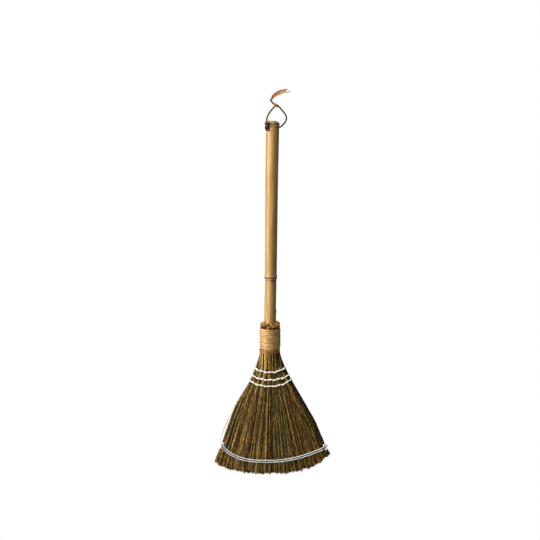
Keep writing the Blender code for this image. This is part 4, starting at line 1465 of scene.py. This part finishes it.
@dataclass
class StrawFan:
    """The straws: fine straws and thicker stalks in tufts, and a few strays."""

    places: Places
    neck_inner: float = 12.6 * MM
    neck_outer: float = 19.0 * MM
    neck_rises: tuple = metres(20.0, 1.5)
    shoulder: Level = Level(*metres(28.5, 28.2, 28.2, 15.3))
    waist: Level = Level(*metres(63.5, 42.8, 46.0, 13.4))
    flank: Level = Level(*metres(106.0, 68.2, 70.5, 12.0))
    skirt: Level = Level(*metres(148.5, 84.8, 93.8, 10.5))
    hem: Level = Level(*metres(192.0, 99.6, 111.7, 10.6))
    tip: Level = Level(Places.fan_length, *metres(115.5, 124.5, 10.8))
    tip_rise_left: float = 21.5 * MM
    tip_rise_right: float = 40.0 * MM
    tip_curve: float = 2.9
    bulge_curve: float = 4.0
    edge_thinning: float = 0.4
    per_span: int = 3
    clumps: int = 31
    clump_depth: float = 0.55 * MM
    teeth: int = 31
    tooth_depth: float = 4.0 * MM
    tufts: int = 7
    columns: int = 13
    layers: int = 4
    fine: Strands = Strands(0.56 * MM, 0.36 * MM, count=11, radius_spread=0.4, wander=5.0 * MM,
                            wander_size=45.0 * MM, cut=0.04, tone_low=-0.05, tone_high=0.95)
    fine_jitter: float = 0.26
    # Painted shade on the fine straws towards the neck, in the gaps between the stalks.
    fine_neck_shade: float = 0.5
    fine_neck_shade_share: float = 0.55
    stalk_columns: int = 4
    stalk_ends: tuple = (8, 16)
    stalk: Strands = Strands(0.95 * MM, 0.3 * MM, count=2, radius_spread=0.25, wander=3.0 * MM,
                             wander_size=60.0 * MM, cut=0.3, sides=6, tone_low=0.4, tone_high=0.95)
    stalk_jitter: tuple = (-0.55, 0.3)
    # Painted shade on the stalks towards the neck, with their tones spread wider there.
    stalk_neck_shade: float = 0.25
    stalk_contrast: float = 1.6
    stalk_neck_shade_share: float = 0.5
    stalk_tint: float = 0.7
    # Painted light on the fan's left and painted shade down its right edge.
    painted_left_light: float = 0.03
    painted_right_shade: float = 0.45
    painted_right_shade_from: float = 0.86
    green: float = 0.75
    green_place: float = 0.27
    green_width: float = 0.17
    flecking: float = 1.8
    # Stronger flecks between the stitched rows paint light and shade on the bunched straw there.
    row_shade_flecking: float = 2.0
    row_share: float = 0.4
    row_width: float = 0.12
    stray: Strands = Strands(0.3 * MM, 0.12 * MM, wander=2.0 * MM, tone_low=0.75, tone_high=1.1, seed=11)
    wisp: tuple = ((-73.4, -5, 140), (-83.2, -5, 122), (-92.5, -6, 98), (-99.8, -6, 78))
    wisp_side: tuple = ((-86.2, -3, 112), (-95.5, -4, 90), (-101.6, -4, 72), (-103.4, -3, 62))
    thin_tips: int = 46
    wisp_tips: int = 14
    seed: int = 11

    def neck_place(self, side: Side, s: float, q: float, rise: float) -> Vector:
        """A place among the straws in the round neck.

        Args:
            side: The face of the fan.
            s: The straw's place across the fan.
            q: The straw's place through the fan.
            rise: The height over the neck's lower end.

        Returns:
            The place.
        """
        radius = between(self.neck_inner, self.neck_outer, q)
        turn = math.pi * (s + 1) / 2
        return Vector((self.places.axis - radius * math.cos(turn), side.value * radius * math.sin(turn),
                       self.places.neck_bottom + rise))

    def flat_place(self, side: Side, s: float, q: float, level: Level) -> Vector:
        """A place among the straws of the flat fan.

        Args:
            side: The face of the fan.
            s: The straw's place across the fan.
            q: The straw's place through the fan.
            level: The fan's size at the place's height.

        Returns:
            The place.
        """
        across = s * (level.left if s < 0 else level.right)
        thick = level.depth * (1 - self.edge_thinning * s * s)
        return Vector((self.places.axis + across, side.value * q * thick,
                       self.places.neck_bottom - level.drop))

    def levels(self, side: Side, s: float, q: float) -> list[Vector]:
        """The places that one straw passes through, from inside the neck to its tip.

        Below the waist the middle straws run straight, and the outer ones bulge to the fan's edge.

        Args:
            side: The face of the fan.
            s: The straw's place across the fan.
            q: The straw's place through the fan.

        Returns:
            The places.
        """
        shoulder, waist, tip = (self.flat_place(side, s, q, level)
                                for level in (self.shoulder, self.waist, self.tip))
        tip.z += (self.tip_rise_left if s < 0 else self.tip_rise_right) * abs(s) ** self.tip_curve
        bulged = []
        for level in (self.flank, self.skirt, self.hem):
            place = self.flat_place(side, s, q, level)
            share = (waist.z - place.z) / (waist.z - tip.z)
            place.x = between(between(waist.x, tip.x, share), place.x, abs(s) ** self.bulge_curve)
            bulged.append(place)
        neck = [self.neck_place(side, s, q, rise) for rise in self.neck_rises]
        return [*neck, shoulder, waist, *bulged, tip]

    def line(self, side: Side, s: float, q: float) -> list[Vector]:
        """One smooth straw line."""
        return spline(self.levels(side, s, q), self.per_span)

    def at_height(self, side: Side, s: float, q: float, height: float) -> Vector:
        """Where one straw line crosses a height.

        Args:
            side: The face of the fan.
            s: The straw's place across the fan.
            q: The straw's place through the fan.
            height: The height.

        Returns:
            The crossing, or the straw's tip where it ends above the height.
        """
        fine = spline(self.levels(side, s, q), 12)
        for upper, lower in zip(fine, fine[1:]):
            if height >= lower.z:
                return upper.lerp(lower, (upper.z - height) / (upper.z - lower.z))
        return fine[-1]

    def guide(self, side: Side, s: float, q: float, half_s: float, half_q: float) -> tuple[list, ...]:
        """A guide line and how far its straws may stand off it.

        Args:
            side: The face of the fan.
            s: The guide's place across the fan.
            q: The guide's place through the fan.
            half_s: Half the room across that belongs to the guide.
            half_q: Half the room through that belongs to it.

        Returns:
            For each point its place, the vectors across and depth, and how far down the fan it lies.
        """
        clump = math.sin((s + 1) * math.pi * self.clumps)
        line = self.line(side, s, q)
        left, right = self.line(side, s - half_s, q), self.line(side, s + half_s, q)
        low, high = self.line(side, s, q - half_q), self.line(side, s, q + half_q)
        shares = [i / (len(line) - 1) for i in range(len(line))]
        for point, share in zip(line, shares):
            point.y += side.value * self.clump_depth * clump * q * min(1.0, share * 3)
        across, depth = ([(b - a) / 2 for a, b in zip(*pair)] for pair in ((left, right), (low, high)))
        return line, across, depth, shares

    def tooth(self, s: float) -> float:
        """How much the straws of one clump end short of the longest ones.

        Args:
            s: The straw's place across the fan.

        Returns:
            The length that is missing.
        """
        place = (s + 1) / 2 * self.teeth
        own = random.Random(int(place) + self.seed * 100).random()
        return self.tooth_depth * (own + 0.5 * abs(2 * (place % 1) - 1) ** 4)

    def looks(self, s: float, shares: Sequence[float], tone: float, dim: float, dim_share: float,
              tint: float = 1.0) -> dict[str, list[float]]:
        """The numbers along a guide that the finish reads.

        The straws carry painted light at the fan's left and painted shade down its right edge and in the
        neck, and are greenest in a band right of the middle. Their flecks are strongest between the
        stitched rows, where they paint light and shade on the bunched straw.

        Args:
            s: The guide's place across the fan.
            shares: How far down the fan each point lies.
            tone: The guide's own tone.
            dim: How much painted shade darkens it in the neck.
            dim_share: How far down the fan that painted shade reaches.
            tint: How strongly it takes the green.

        Returns:
            The attributes shade, which holds the tone with its painted light and shade, tint and flecking.
        """
        # Painted light on the fan's left, and painted shade down its right edge that fades towards the tips.
        light = self.painted_left_light * min(1.0, max(0.0, -2 * s))
        dark = self.painted_right_shade * max(0.0, (s - self.painted_right_shade_from) / (1 - self.painted_right_shade_from))
        green = self.green * bump_at(s, self.green_place, self.green_width)
        rows = [self.row_shade_flecking * bump_at(share, self.row_share, self.row_width) for share in shares]
        # The dim term is painted shade towards the neck.
        return {"shade": [tone + light - dark * (1 - share**3) - dim * max(0.0, 1 - share / dim_share)
                          for share in shares],
                "tint": [green * tint] * len(shares),
                "flecking": [self.flecking + more for more in rows]}

    def tuft(self, side: Side, index: int, chance: random.Random) -> None:
        """One tuft of fine straws.

        Args:
            side: The face of the fan.
            index: The tuft's number from the left.
            chance: The source of random tones.
        """
        half = 1 / self.tufts
        centre = (2 * index + 1) * half - 1
        half_s, half_q = half / self.columns, 0.5 / self.layers
        guides = Guides()
        for layer in range(self.layers):
            for column in range(self.columns):
                s, q = centre + (2 * column + 1 - self.columns) * half_s, (2 * layer + 1) * half_q
                line, across, depth, shares = self.guide(side, s, q, half_s * 1.15, half_q)
                line[-1] = line[-1].lerp(line[-2], min(0.8, self.tooth(s) / (line[-1] - line[-2]).length))
                tone = chance.uniform(-self.fine_jitter, self.fine_jitter)
                guides.add(line, across=across, depth=depth,
                           **self.looks(s, shares, tone, self.fine_neck_shade, self.fine_neck_shade_share))
        name = f"{side.name.lower()}_{index + 1}"
        straws = replace(self.fine, seed=self.seed * 31 + index * 2 + (1 if side is Side.BACK else 0))
        straws.grow(f"fine_straws_{name}", guides.piece(), Body.BROOM, STRAW, f"straw_tuft_{name}")

    def stalks(self, side: Side, index: int, chance: random.Random) -> None:
        """The thick stalks that show on the outside of a tuft and thin out down the fan.

        Args:
            side: The face of the fan.
            index: The tuft's number from the left.
            chance: The source of random lengths and tones.
        """
        half = 1 / self.tufts
        half_s = half / self.stalk_columns
        guides = Guides()
        for column in range(self.stalk_columns):
            s = (2 * index + 1) * half - 1 + (2 * column + 1 - self.stalk_columns) * half_s
            end = chance.randrange(*self.stalk_ends)
            guide = self.guide(side, s, 1.02, half_s * 0.7, 0.03)
            line, across, depth, shares = (values[:end] for values in guide)
            tone = chance.uniform(*self.stalk_jitter)
            # Painted shade towards the neck, deeper on darker stalks; the lightest stalks brighten there.
            dim = self.stalk_neck_shade - self.stalk_contrast * tone
            guides.add(line, across=across, depth=depth,
                       **self.looks(s, shares, tone, dim, self.stalk_neck_shade_share, self.stalk_tint))
        stalks = replace(self.stalk, seed=chance.randrange(9999))
        stalks.grow(f"stalks_{side.name.lower()}_{index + 1}", guides.piece(), Body.BROOM, STRAW)

    def strays(self) -> None:
        """A wisp that stands away from the fan's left edge, and thin fibres past its tips."""
        origin = Vector((self.places.axis, 0, self.places.tips))
        edge = [self.at_height(Side.FRONT, -0.98, 0.8, self.places.tips + rise * MM) for rise in (190, 160)]
        lines = [spline(edge + [origin + point for point in route(self.wisp)], 6)]
        lines += [[origin + point + route([(1.3, -1.0, 5.0)])[0] * step for point in route(self.wisp_side)]
                  for step in range(3)]
        chance = random.Random(self.seed + 3)
        for i in range(self.thin_tips + self.wisp_tips):
            reach, longest = ((-0.98, 0.98), 4) if i < self.thin_tips else ((-0.86, -0.6), 7)
            s = chance.uniform(*reach)
            line = self.line(Side.FRONT if chance.random() < 0.5 else Side.BACK, s, chance.uniform(0.2, 0.9))
            end = line[-1] + (line[-1] - line[-3]).normalized() * chance.uniform(1, longest) * MM
            lines.append([line[-4], line[-2], line[-1], end])
        self.stray.grow("stray_fibres", plain_guides(*lines), Body.BROOM, STRAW)

    def build(self) -> None:
        """Makes all tufts with their stalks, and the strays."""
        chance = random.Random(self.seed)
        for side in Side:
            for index in range(self.tufts):
                self.tuft(side, index, chance)
                self.stalks(side, index, chance)
        self.strays()


@dataclass
class BoundNeck:
    """The cut butts, the wound rattan, the cane hoop under it and the tie wire inside."""

    places: Places
    rings: tuple = ((13.9 * MM, 17, 2.5 * MM), (16.2 * MM, 20, 0.8 * MM), (18.3 * MM, 23, -1.6 * MM))
    butt: CutStalks = CutStalks(radius=1.4 * MM, wall=0.8 * MM, height=18.0 * MM, lean=0.07, seed=5)
    rise: float = 3.2 * MM
    side_rise: float = 5.0 * MM
    spread: float = 2.8 * MM
    ring_spread: float = 0.4 * MM
    turn_spread: float = 0.3
    turns: int = 10
    turn_gap: float = 0.12 * MM
    strip_thickness: float = 1.0 * MM
    ridge_turn: float = math.radians(-43)
    hoop_thickness: float = 1.7 * MM
    hoop_overlap: float = 0.3 * MM
    seed: int = 5

    def butts(self) -> None:
        """Stands the cut ends in three rings between the handle and the binding."""
        chance = random.Random(self.seed)
        points = []
        for radius, count, lift in self.rings:
            for i in range(count):
                turn = (i + chance.uniform(-self.turn_spread, self.turn_spread)) * math.tau / count
                top = self.rise + lift + self.side_rise * math.cos(turn) ** 2
                top += chance.uniform(-1, 1) * self.spread
                reach = radius + chance.uniform(-1, 1) * self.ring_spread
                points.append(Vector((self.places.axis + reach * math.cos(turn), reach * math.sin(turn),
                                      self.places.neck_top + top - self.butt.height / 2)))
        self.butt.grow("cut_butts", Guides(points=points).piece(), Body.BROOM, BUTTS)

    def winding(self) -> None:
        """Winds the strip between the hoop and the butts."""
        low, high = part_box("rattan_binding")
        pitch = (high.z - low.z) / (self.turns + 1)
        strip = Winding(
            radius=(high.x - low.x) / 2 - self.strip_thickness / 2, turns=float(self.turns),
            rise=pitch * self.turns, start_height=low.z + pitch / 2, axis=self.places.axis,
            width=pitch - self.turn_gap, thickness=self.strip_thickness, ridge_turn=self.ridge_turn,
            ridge_height=0.45 * MM, ridge_width=1.7 * MM, unevenness=0.16 * MM, seed=0.3)
        strip.grow("rattan_winding", plain_guides(), Body.BROOM, RATTAN, "rattan_binding")

    def hoop(self) -> None:
        """Two rounds of dyed cane, one over the other, in the hoop's place."""
        low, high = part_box("cane_hoop")
        width = (high.z - low.z) / 2
        for number, name in enumerate(("lower", "upper")):
            cane = Winding(
                radius=(high.x - low.x) / 2 - self.hoop_thickness / 2, turns=1.0, rise=0.0,
                start_height=low.z + width * (number + 0.5), axis=self.places.axis,
                width=width + self.hoop_overlap, thickness=self.hoop_thickness, ridge_turn=2.2 + number,
                ridge_height=0.3 * MM, ridge_width=2.5 * MM, unevenness=0.35 * MM, seed=0.7 + number * 0.2)
            cane.grow(f"hoop_cane_{name}", plain_guides(), Body.BROOM, HOOP_CANE, "cane_hoop")

    def build(self) -> None:
        """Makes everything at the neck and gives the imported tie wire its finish."""
        self.butts()
        self.winding()
        self.hoop()
        for slot in bpy.data.objects["inner_tie_wire"].material_slots:
            slot.material = WIRE.material()


class Row(NamedTuple):
    """A stitched row: its drop below the neck, its sag and what the sag gains on the right."""

    drop: float
    sag: float
    tilt: float


@dataclass
class Stitching:
    """The three twined rows, the double hem, the lashing in it and its knots."""

    places: Places
    fan: StrawFan
    rows: tuple[Row, ...] = (Row(*metres(39.0, 7.5, 1.0)), Row(*metres(54.6, 7.5, 1.0)),
                             Row(*metres(68.0, 10.0, 3.0)))
    row_twine: TwistedPlies = TwistedPlies(0.95 * MM, 0.68 * MM, 18.0 * MM, step=1.0 * MM, unevenness=0.25,
                                           sides=8)
    row_gap: float = 0.9 * MM
    row_dip: float = 1.5 * MM
    row_sway: float = 0.45
    row_sharpness: int = 6
    stitch_pitch: float = 8.6 * MM
    thread_rise: float = 29.0 * MM
    thread_spacing: float = 3.9 * MM
    sag_left: float = 33.0 * MM
    sag_right: float = 28.6 * MM
    sag_curve_left: float = 3.2
    sag_curve_right: float = 2.0
    hem_twine: TwistedPlies = TwistedPlies(0.57 * MM, 0.35 * MM, 4.0 * MM, step=0.8 * MM, unevenness=0.15,
                                           sides=6)
    knot_twine: TwistedPlies = TwistedPlies(0.66 * MM, 0.35 * MM, 4.0 * MM, step=0.6 * MM, unevenness=0.1,
                                            sides=6)
    lashing_thread: Strands = Strands(1.0 * MM, 1.0 * MM, radius_spread=0.15, sides=6, seed=3)
    lashing_step: float = 3.9 * MM
    lashing_slant: float = 1.6 * MM
    lashing_reach: float = 0.85
    lashing_gap: float = 0.1 * MM
    knot_out: float = 1.2 * MM
    knot_half: tuple = (2.2, 1.8, 2.6)
    tail: tuple = ((0.0, 0.0, 0.0), (0.8, -6.6, -1.6), (0.2, -9.6, -4.2), (-0.6, -9.8, -6.6))
    ear: tuple = ((0.0, 0.0, 0.0), (0.2, -6.6, 0.8), (-1.6, -10.0, 3.4), (-3.6, -10.8, 5.8),
                  (-6.2, -10.8, 5.2), (-5.6, -10.4, 3.0), (-2.4, -10.0, 1.6))

    def surface(self, side: Side, s: float, height: float, stand_off: float) -> Vector:
        """A place just outside the straws at a height."""
        return self.fan.at_height(side, s, 1.0, height) + Vector((0, side.value * stand_off, 0))

    def row_height(self, s: float, row: Row) -> float:
        """The height of a twined row across the fan."""
        return self.places.neck_bottom - row.drop + (row.sag if s < 0 else row.sag + row.tilt) * s * s

    def thread_height(self, s: float, level: float) -> float:
        """The height of the hem across the fan.

        Args:
            s: The place across the fan.
            level: One at the upper thread and minus one at the lower.

        Returns:
            The height.
        """
        middle = self.places.tips + self.thread_rise + level * self.thread_spacing / 2
        sag, curve = (self.sag_left, self.sag_curve_left) if s < 0 else (self.sag_right, self.sag_curve_right)
        return middle + sag * abs(s) ** curve

    def ring(self, height_at: Callable[[float], float], stand_off: float, dip: float = 0.0,
             stations: int = 40) -> list[Vector]:
        """A closed run round the fan at a height that changes across it.

        Args:
            height_at: The run's height at a place across the fan.
            stand_off: How far it stands off the straws.
            dip: How far it sinks in where each stitch is drawn through.
            stations: How many points each side has.

        Returns:
            The run's points.
        """
        places = [2 * i / stations - 1 for i in range(stations + 1)]
        path = []
        for side, run in ((Side.FRONT, places), (Side.BACK, places[::-1])):
            for s in run:
                point = self.surface(side, s, height_at(s), stand_off)
                phase = point.x / self.stitch_pitch
                sunk = dip * abs(math.cos(math.pi * phase)) ** self.row_sharpness
                sway = dip * self.row_sway * math.sin(math.pi * phase)
                path.append(point + Vector((0, -side.value * sunk, sway)))
            edge = run[-1]
            corner = self.fan.at_height(side, edge, 1.0, height_at(edge))
            path.append(Vector((corner.x + edge * stand_off, 0, corner.z)))
        path.append(path[0])
        return path

    def twined_rows(self) -> None:
        """The three upper rows of white twine."""
        for number, row in enumerate(self.rows, 1):
            path = self.ring(partial(self.row_height, row=row), self.row_twine.ply_radius + self.row_gap,
                             self.row_dip, 64)
            self.row_twine.grow(f"twined_row_{number}", plain_guides(path), Body.BROOM, TWINE,
                                f"stitch_row_{number}")

    def hem(self) -> None:
        """The two hem threads."""
        for name, level in (("upper", 1), ("lower", -1)):
            path = self.ring(partial(self.thread_height, level=level), self.hem_twine.ply_radius)
            self.hem_twine.grow(f"hem_twine_{name}", plain_guides(path), Body.BROOM, HEM_TWINE,
                                f"hem_thread_{name}")

    def lashing(self) -> None:
        """The slanted grey stitches between the two hem threads."""
        width = self.fan.tip.left + self.fan.tip.right
        count = int(width / self.lashing_step)
        slant = self.lashing_slant / width
        lines = []
        for side in Side:
            for i in range(1, count):
                s = 2 * i / count - 1
                stitch = ((s - slant, self.lashing_reach), (s, 0.0), (s + slant, -self.lashing_reach))
                lines.append([self.surface(side, t, self.thread_height(t, level), self.lashing_gap)
                              for t, level in stitch])
        self.lashing_thread.grow("hem_lashing", plain_guides(*lines), Body.BROOM, LASHING)

    def knots(self) -> None:
        """The knot at each end of the hem, with a small loop above and a cut tail below."""
        for name, edge in (("left", -1), ("right", 1)):
            corner = self.fan.at_height(Side.FRONT, edge, 1.0, self.thread_height(edge, 0))
            centre = Vector((corner.x + edge * self.knot_out, 0, corner.z))
            ends = [spline([centre + Vector((edge * x, y, z)) * MM for x, y, z in places], 4)
                    for places in (self.tail, self.ear)]
            guides = plain_guides(trefoil(centre, Vector(self.knot_half) * MM), *ends)
            self.knot_twine.grow(f"hem_end_{name}", guides, Body.BROOM, HEM_TWINE, f"hem_knot_{name}")

    def build(self) -> None:
        """Makes all the stitching."""
        self.twined_rows()
        self.hem()
        self.lashing()
        self.knots()


@dataclass
class CordLoop:
    """The hanging cord: two strands from the hole to the hitch, the knots and the frayed end."""

    diameter: float = 3.2 * MM
    twist: float = 10.0 * MM
    ply_share: float = 0.68
    lay_share: float = 0.46
    hole: tuple = (-8.8, 0, -40.5)
    hole_reach: float = 14.0 * MM
    hole_slack: float = 0.6 * MM
    right: tuple = ((0.6, 10.4, -40.5), (2.7, 12.7, -40.4), (5.6, 14.0, -39.4), (9.4, 12.9, -37.0),
                    (13.8, 9.8, -32.4), (17.2, 7.0, -27.6), (18.7, 4.6, -22.6), (18.0, 3.0, -17.6),
                    (14.0, 1.6, -11.0), (8.0, 0.6, -3.8), (3.6, 0.2, 0.9), (0.0, 0.0, 2.4),
                    (-4.4, -0.2, 4.6), (-8.6, -0.4, 8.0), (-10.9, -0.4, 11.2))
    left: tuple = ((-20.5, -13.0, -29.1), (-20.6, -13.2, -25.5), (-19.6, -13.0, -20.4),
                   (-17.6, -11.4, -15.4), (-14.6, -9.2, -10.4), (-11.0, -7.6, -5.6), (-7.6, -6.0, -1.8),
                   (-5.0, -3.6, 1.1))
    side_knot: tuple = (-20.5, -13.0, -37.4)
    side_knot_half: tuple = (3.7, 1.8, 7.0)
    knot_tail: tuple = ((-20.5, -13.0, -36.0), (-20.0, -13.4, -41.0), (-19.4, -12.9, -44.4),
                        (-19.0, -12.9, -47.0))
    hitch: tuple = ((-4.6, -0.2, 4.9), (1.8, 0.1, 1.6))
    hitch_radius: float = 2.1 * MM
    hitch_turns: float = 2.5
    hitch_scale: float = 0.75
    # A pale turn of fibres laid on the hitch: a painted highlight.
    hitch_highlight: tuple = ((-5.4, -0.2, 5.4), (-1.6, 0.0, 3.6))
    hitch_highlight_radius: float = 2.9 * MM
    hitch_highlight_turns: float = 1.6
    tail_core: tuple = ((-10.9, -0.4, 11.2), (-12.65, -0.4, 13.65), (-11.2, -0.4, 16.2))
    tail_wrap: tuple = ((-12.05, -0.4, 11.85), (-12.25, -0.4, 15.25))
    tail_radius: float = 1.3 * MM
    tail_turns: float = 2.0
    tail_scale: float = 0.8
    fray_main: tuple = ((-11.6, -0.4, 15.4), (-8.4, -0.4, 20.2), (-3.0, 0.0, 25.0), (5.0, 0.4, 29.0),
                        (12.6, 0.8, 32.4), (20.8, 1.4, 35.8))
    fray_side: tuple = ((-6.0, -0.6, 21.6), (2.0, -1.2, 26.2), (12.0, -2.0, 28.4), (25.6, -2.4, 31.2))
    fray_main_shares: tuple = (0.55, 0.75, 0.95, 1.0, 0.62, 0.12)
    fray_side_shares: tuple = (0.42, 0.49, 0.245, 0.07)
    fray_half: float = 4.2 * MM
    hitch_highlight_fibres: Strands = Strands(0.34 * MM, 0.26 * MM, count=14, wander=0.6 * MM, wander_size=8.0 * MM,
                                   cut=0.1, sides=4, tone_low=-0.4, tone_high=0.3, seed=4)
    fray_fibres: Strands = Strands(0.36 * MM, 0.2 * MM, count=120, radius_spread=0.3, wander=5.0 * MM,
                                   wander_size=22.0 * MM, cut=0.3, seed=17)

    def cord(self, name: str, lines: Sequence[list[Vector]], *nodes: str,
             scale: float = 1.0) -> bpy.types.Object:
        """One twisted piece along its lines.

        Args:
            name: The piece's name.
            lines: The lines it follows.
            nodes: The nodes that it replaces.
            scale: How thick it is beside the main cord.

        Returns:
            The piece.
        """
        radius = self.diameter / 2 * scale
        plies = TwistedPlies(radius * self.ply_share, radius * self.lay_share, self.twist * scale,
                             step=0.7 * MM, unevenness=0.18, sides=10)
        return plies.grow(name, plain_guides(*lines), Body.LOOP, CORD, *nodes)

    def hitch_highlight_turn(self) -> bpy.types.Object:
        """A turn of pale fibres on the hitch, as a painted highlight.

        Returns:
            The piece.
        """
        line = wrap(*route(self.hitch_highlight), self.hitch_highlight_radius, self.hitch_highlight_turns, 12)
        across, depth = route(((0.5, 0, 0.5), (0.4, 0, -0.4)))
        guides = Guides()
        guides.add(line, across=[across] * len(line), depth=[depth] * len(line))
        return self.hitch_highlight_fibres.grow("cord_hitch_painted_highlight", guides.piece(), Body.LOOP, FRAY)

    def fray(self) -> bpy.types.Object:
        """The untwisted fibres of the cord's end.

        Returns:
            The piece.
        """
        guides = Guides()
        for places, shares in ((self.fray_main, self.fray_main_shares),
                               (self.fray_side, self.fray_side_shares)):
            line = spline(route(places), 4)
            halves = []
            for i in range(len(line)):
                place = i / (len(line) - 1) * (len(shares) - 1)
                step = min(int(place), len(shares) - 2)
                halves.append(between(shares[step], shares[step + 1], place - step) * self.fray_half)
            guides.add(line, across=[Vector((-0.5, 0, 0.85)) * half for half in halves],
                       depth=[Vector((0, 0.8, 0)) * half for half in halves])
        return self.fray_fibres.grow("cord_frayed_end", guides.piece(), Body.LOOP, FRAY, "frayed_end")

    def build(self) -> None:
        """Makes the cord with its knots and its frayed end."""
        along = Vector((math.cos(HOLE_TURN), math.sin(HOLE_TURN), 0))
        hole = Vector(self.hole) * MM
        through = [hole - along * (self.hole_reach + self.hole_slack), hole + along * self.hole_reach]
        inside = self.cord("cord_through_hole", [through], "cord_in_hole")
        right, left = (spline(route(places), 5) for places in (self.right, self.left))
        right_piece = self.cord("cord_strand_right", [right], "loop_strand_right")
        left_piece = self.cord("cord_strand_left", [left], "loop_strand_left")
        overhand = trefoil(*route((self.side_knot, self.side_knot_half)), HOLE_TURN + math.pi / 2)
        knot = self.cord("cord_side_knot", [overhand, spline(route(self.knot_tail), 5)], "side_knot")
        grip = wrap(*route(self.hitch), self.hitch_radius, self.hitch_turns)
        hitch = self.cord("cord_hitch", [grip], "loop_hitch", scale=self.hitch_scale)
        hitch_highlight = self.hitch_highlight_turn()
        top_lines = [route(self.tail_core), wrap(*route(self.tail_wrap), self.tail_radius, self.tail_turns)]
        top = self.cord("cord_tail_knot", top_lines, "tail_knot", scale=self.tail_scale)
        fray = self.fray()


def main() -> None:
    """Builds the broom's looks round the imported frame."""
    logging.basicConfig(level=logging.INFO, format="%(name)s: %(message)s")
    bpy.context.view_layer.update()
    places = Places()
    Studio().build(places.handle_top, places.tips)
    CordLoop().build()
    BambooHandle(places).build()
    fan = StrawFan(places)
    fan.build()
    BoundNeck(places).build()
    Stitching(places, fan).build()


if __name__ == "__main__":
    main()
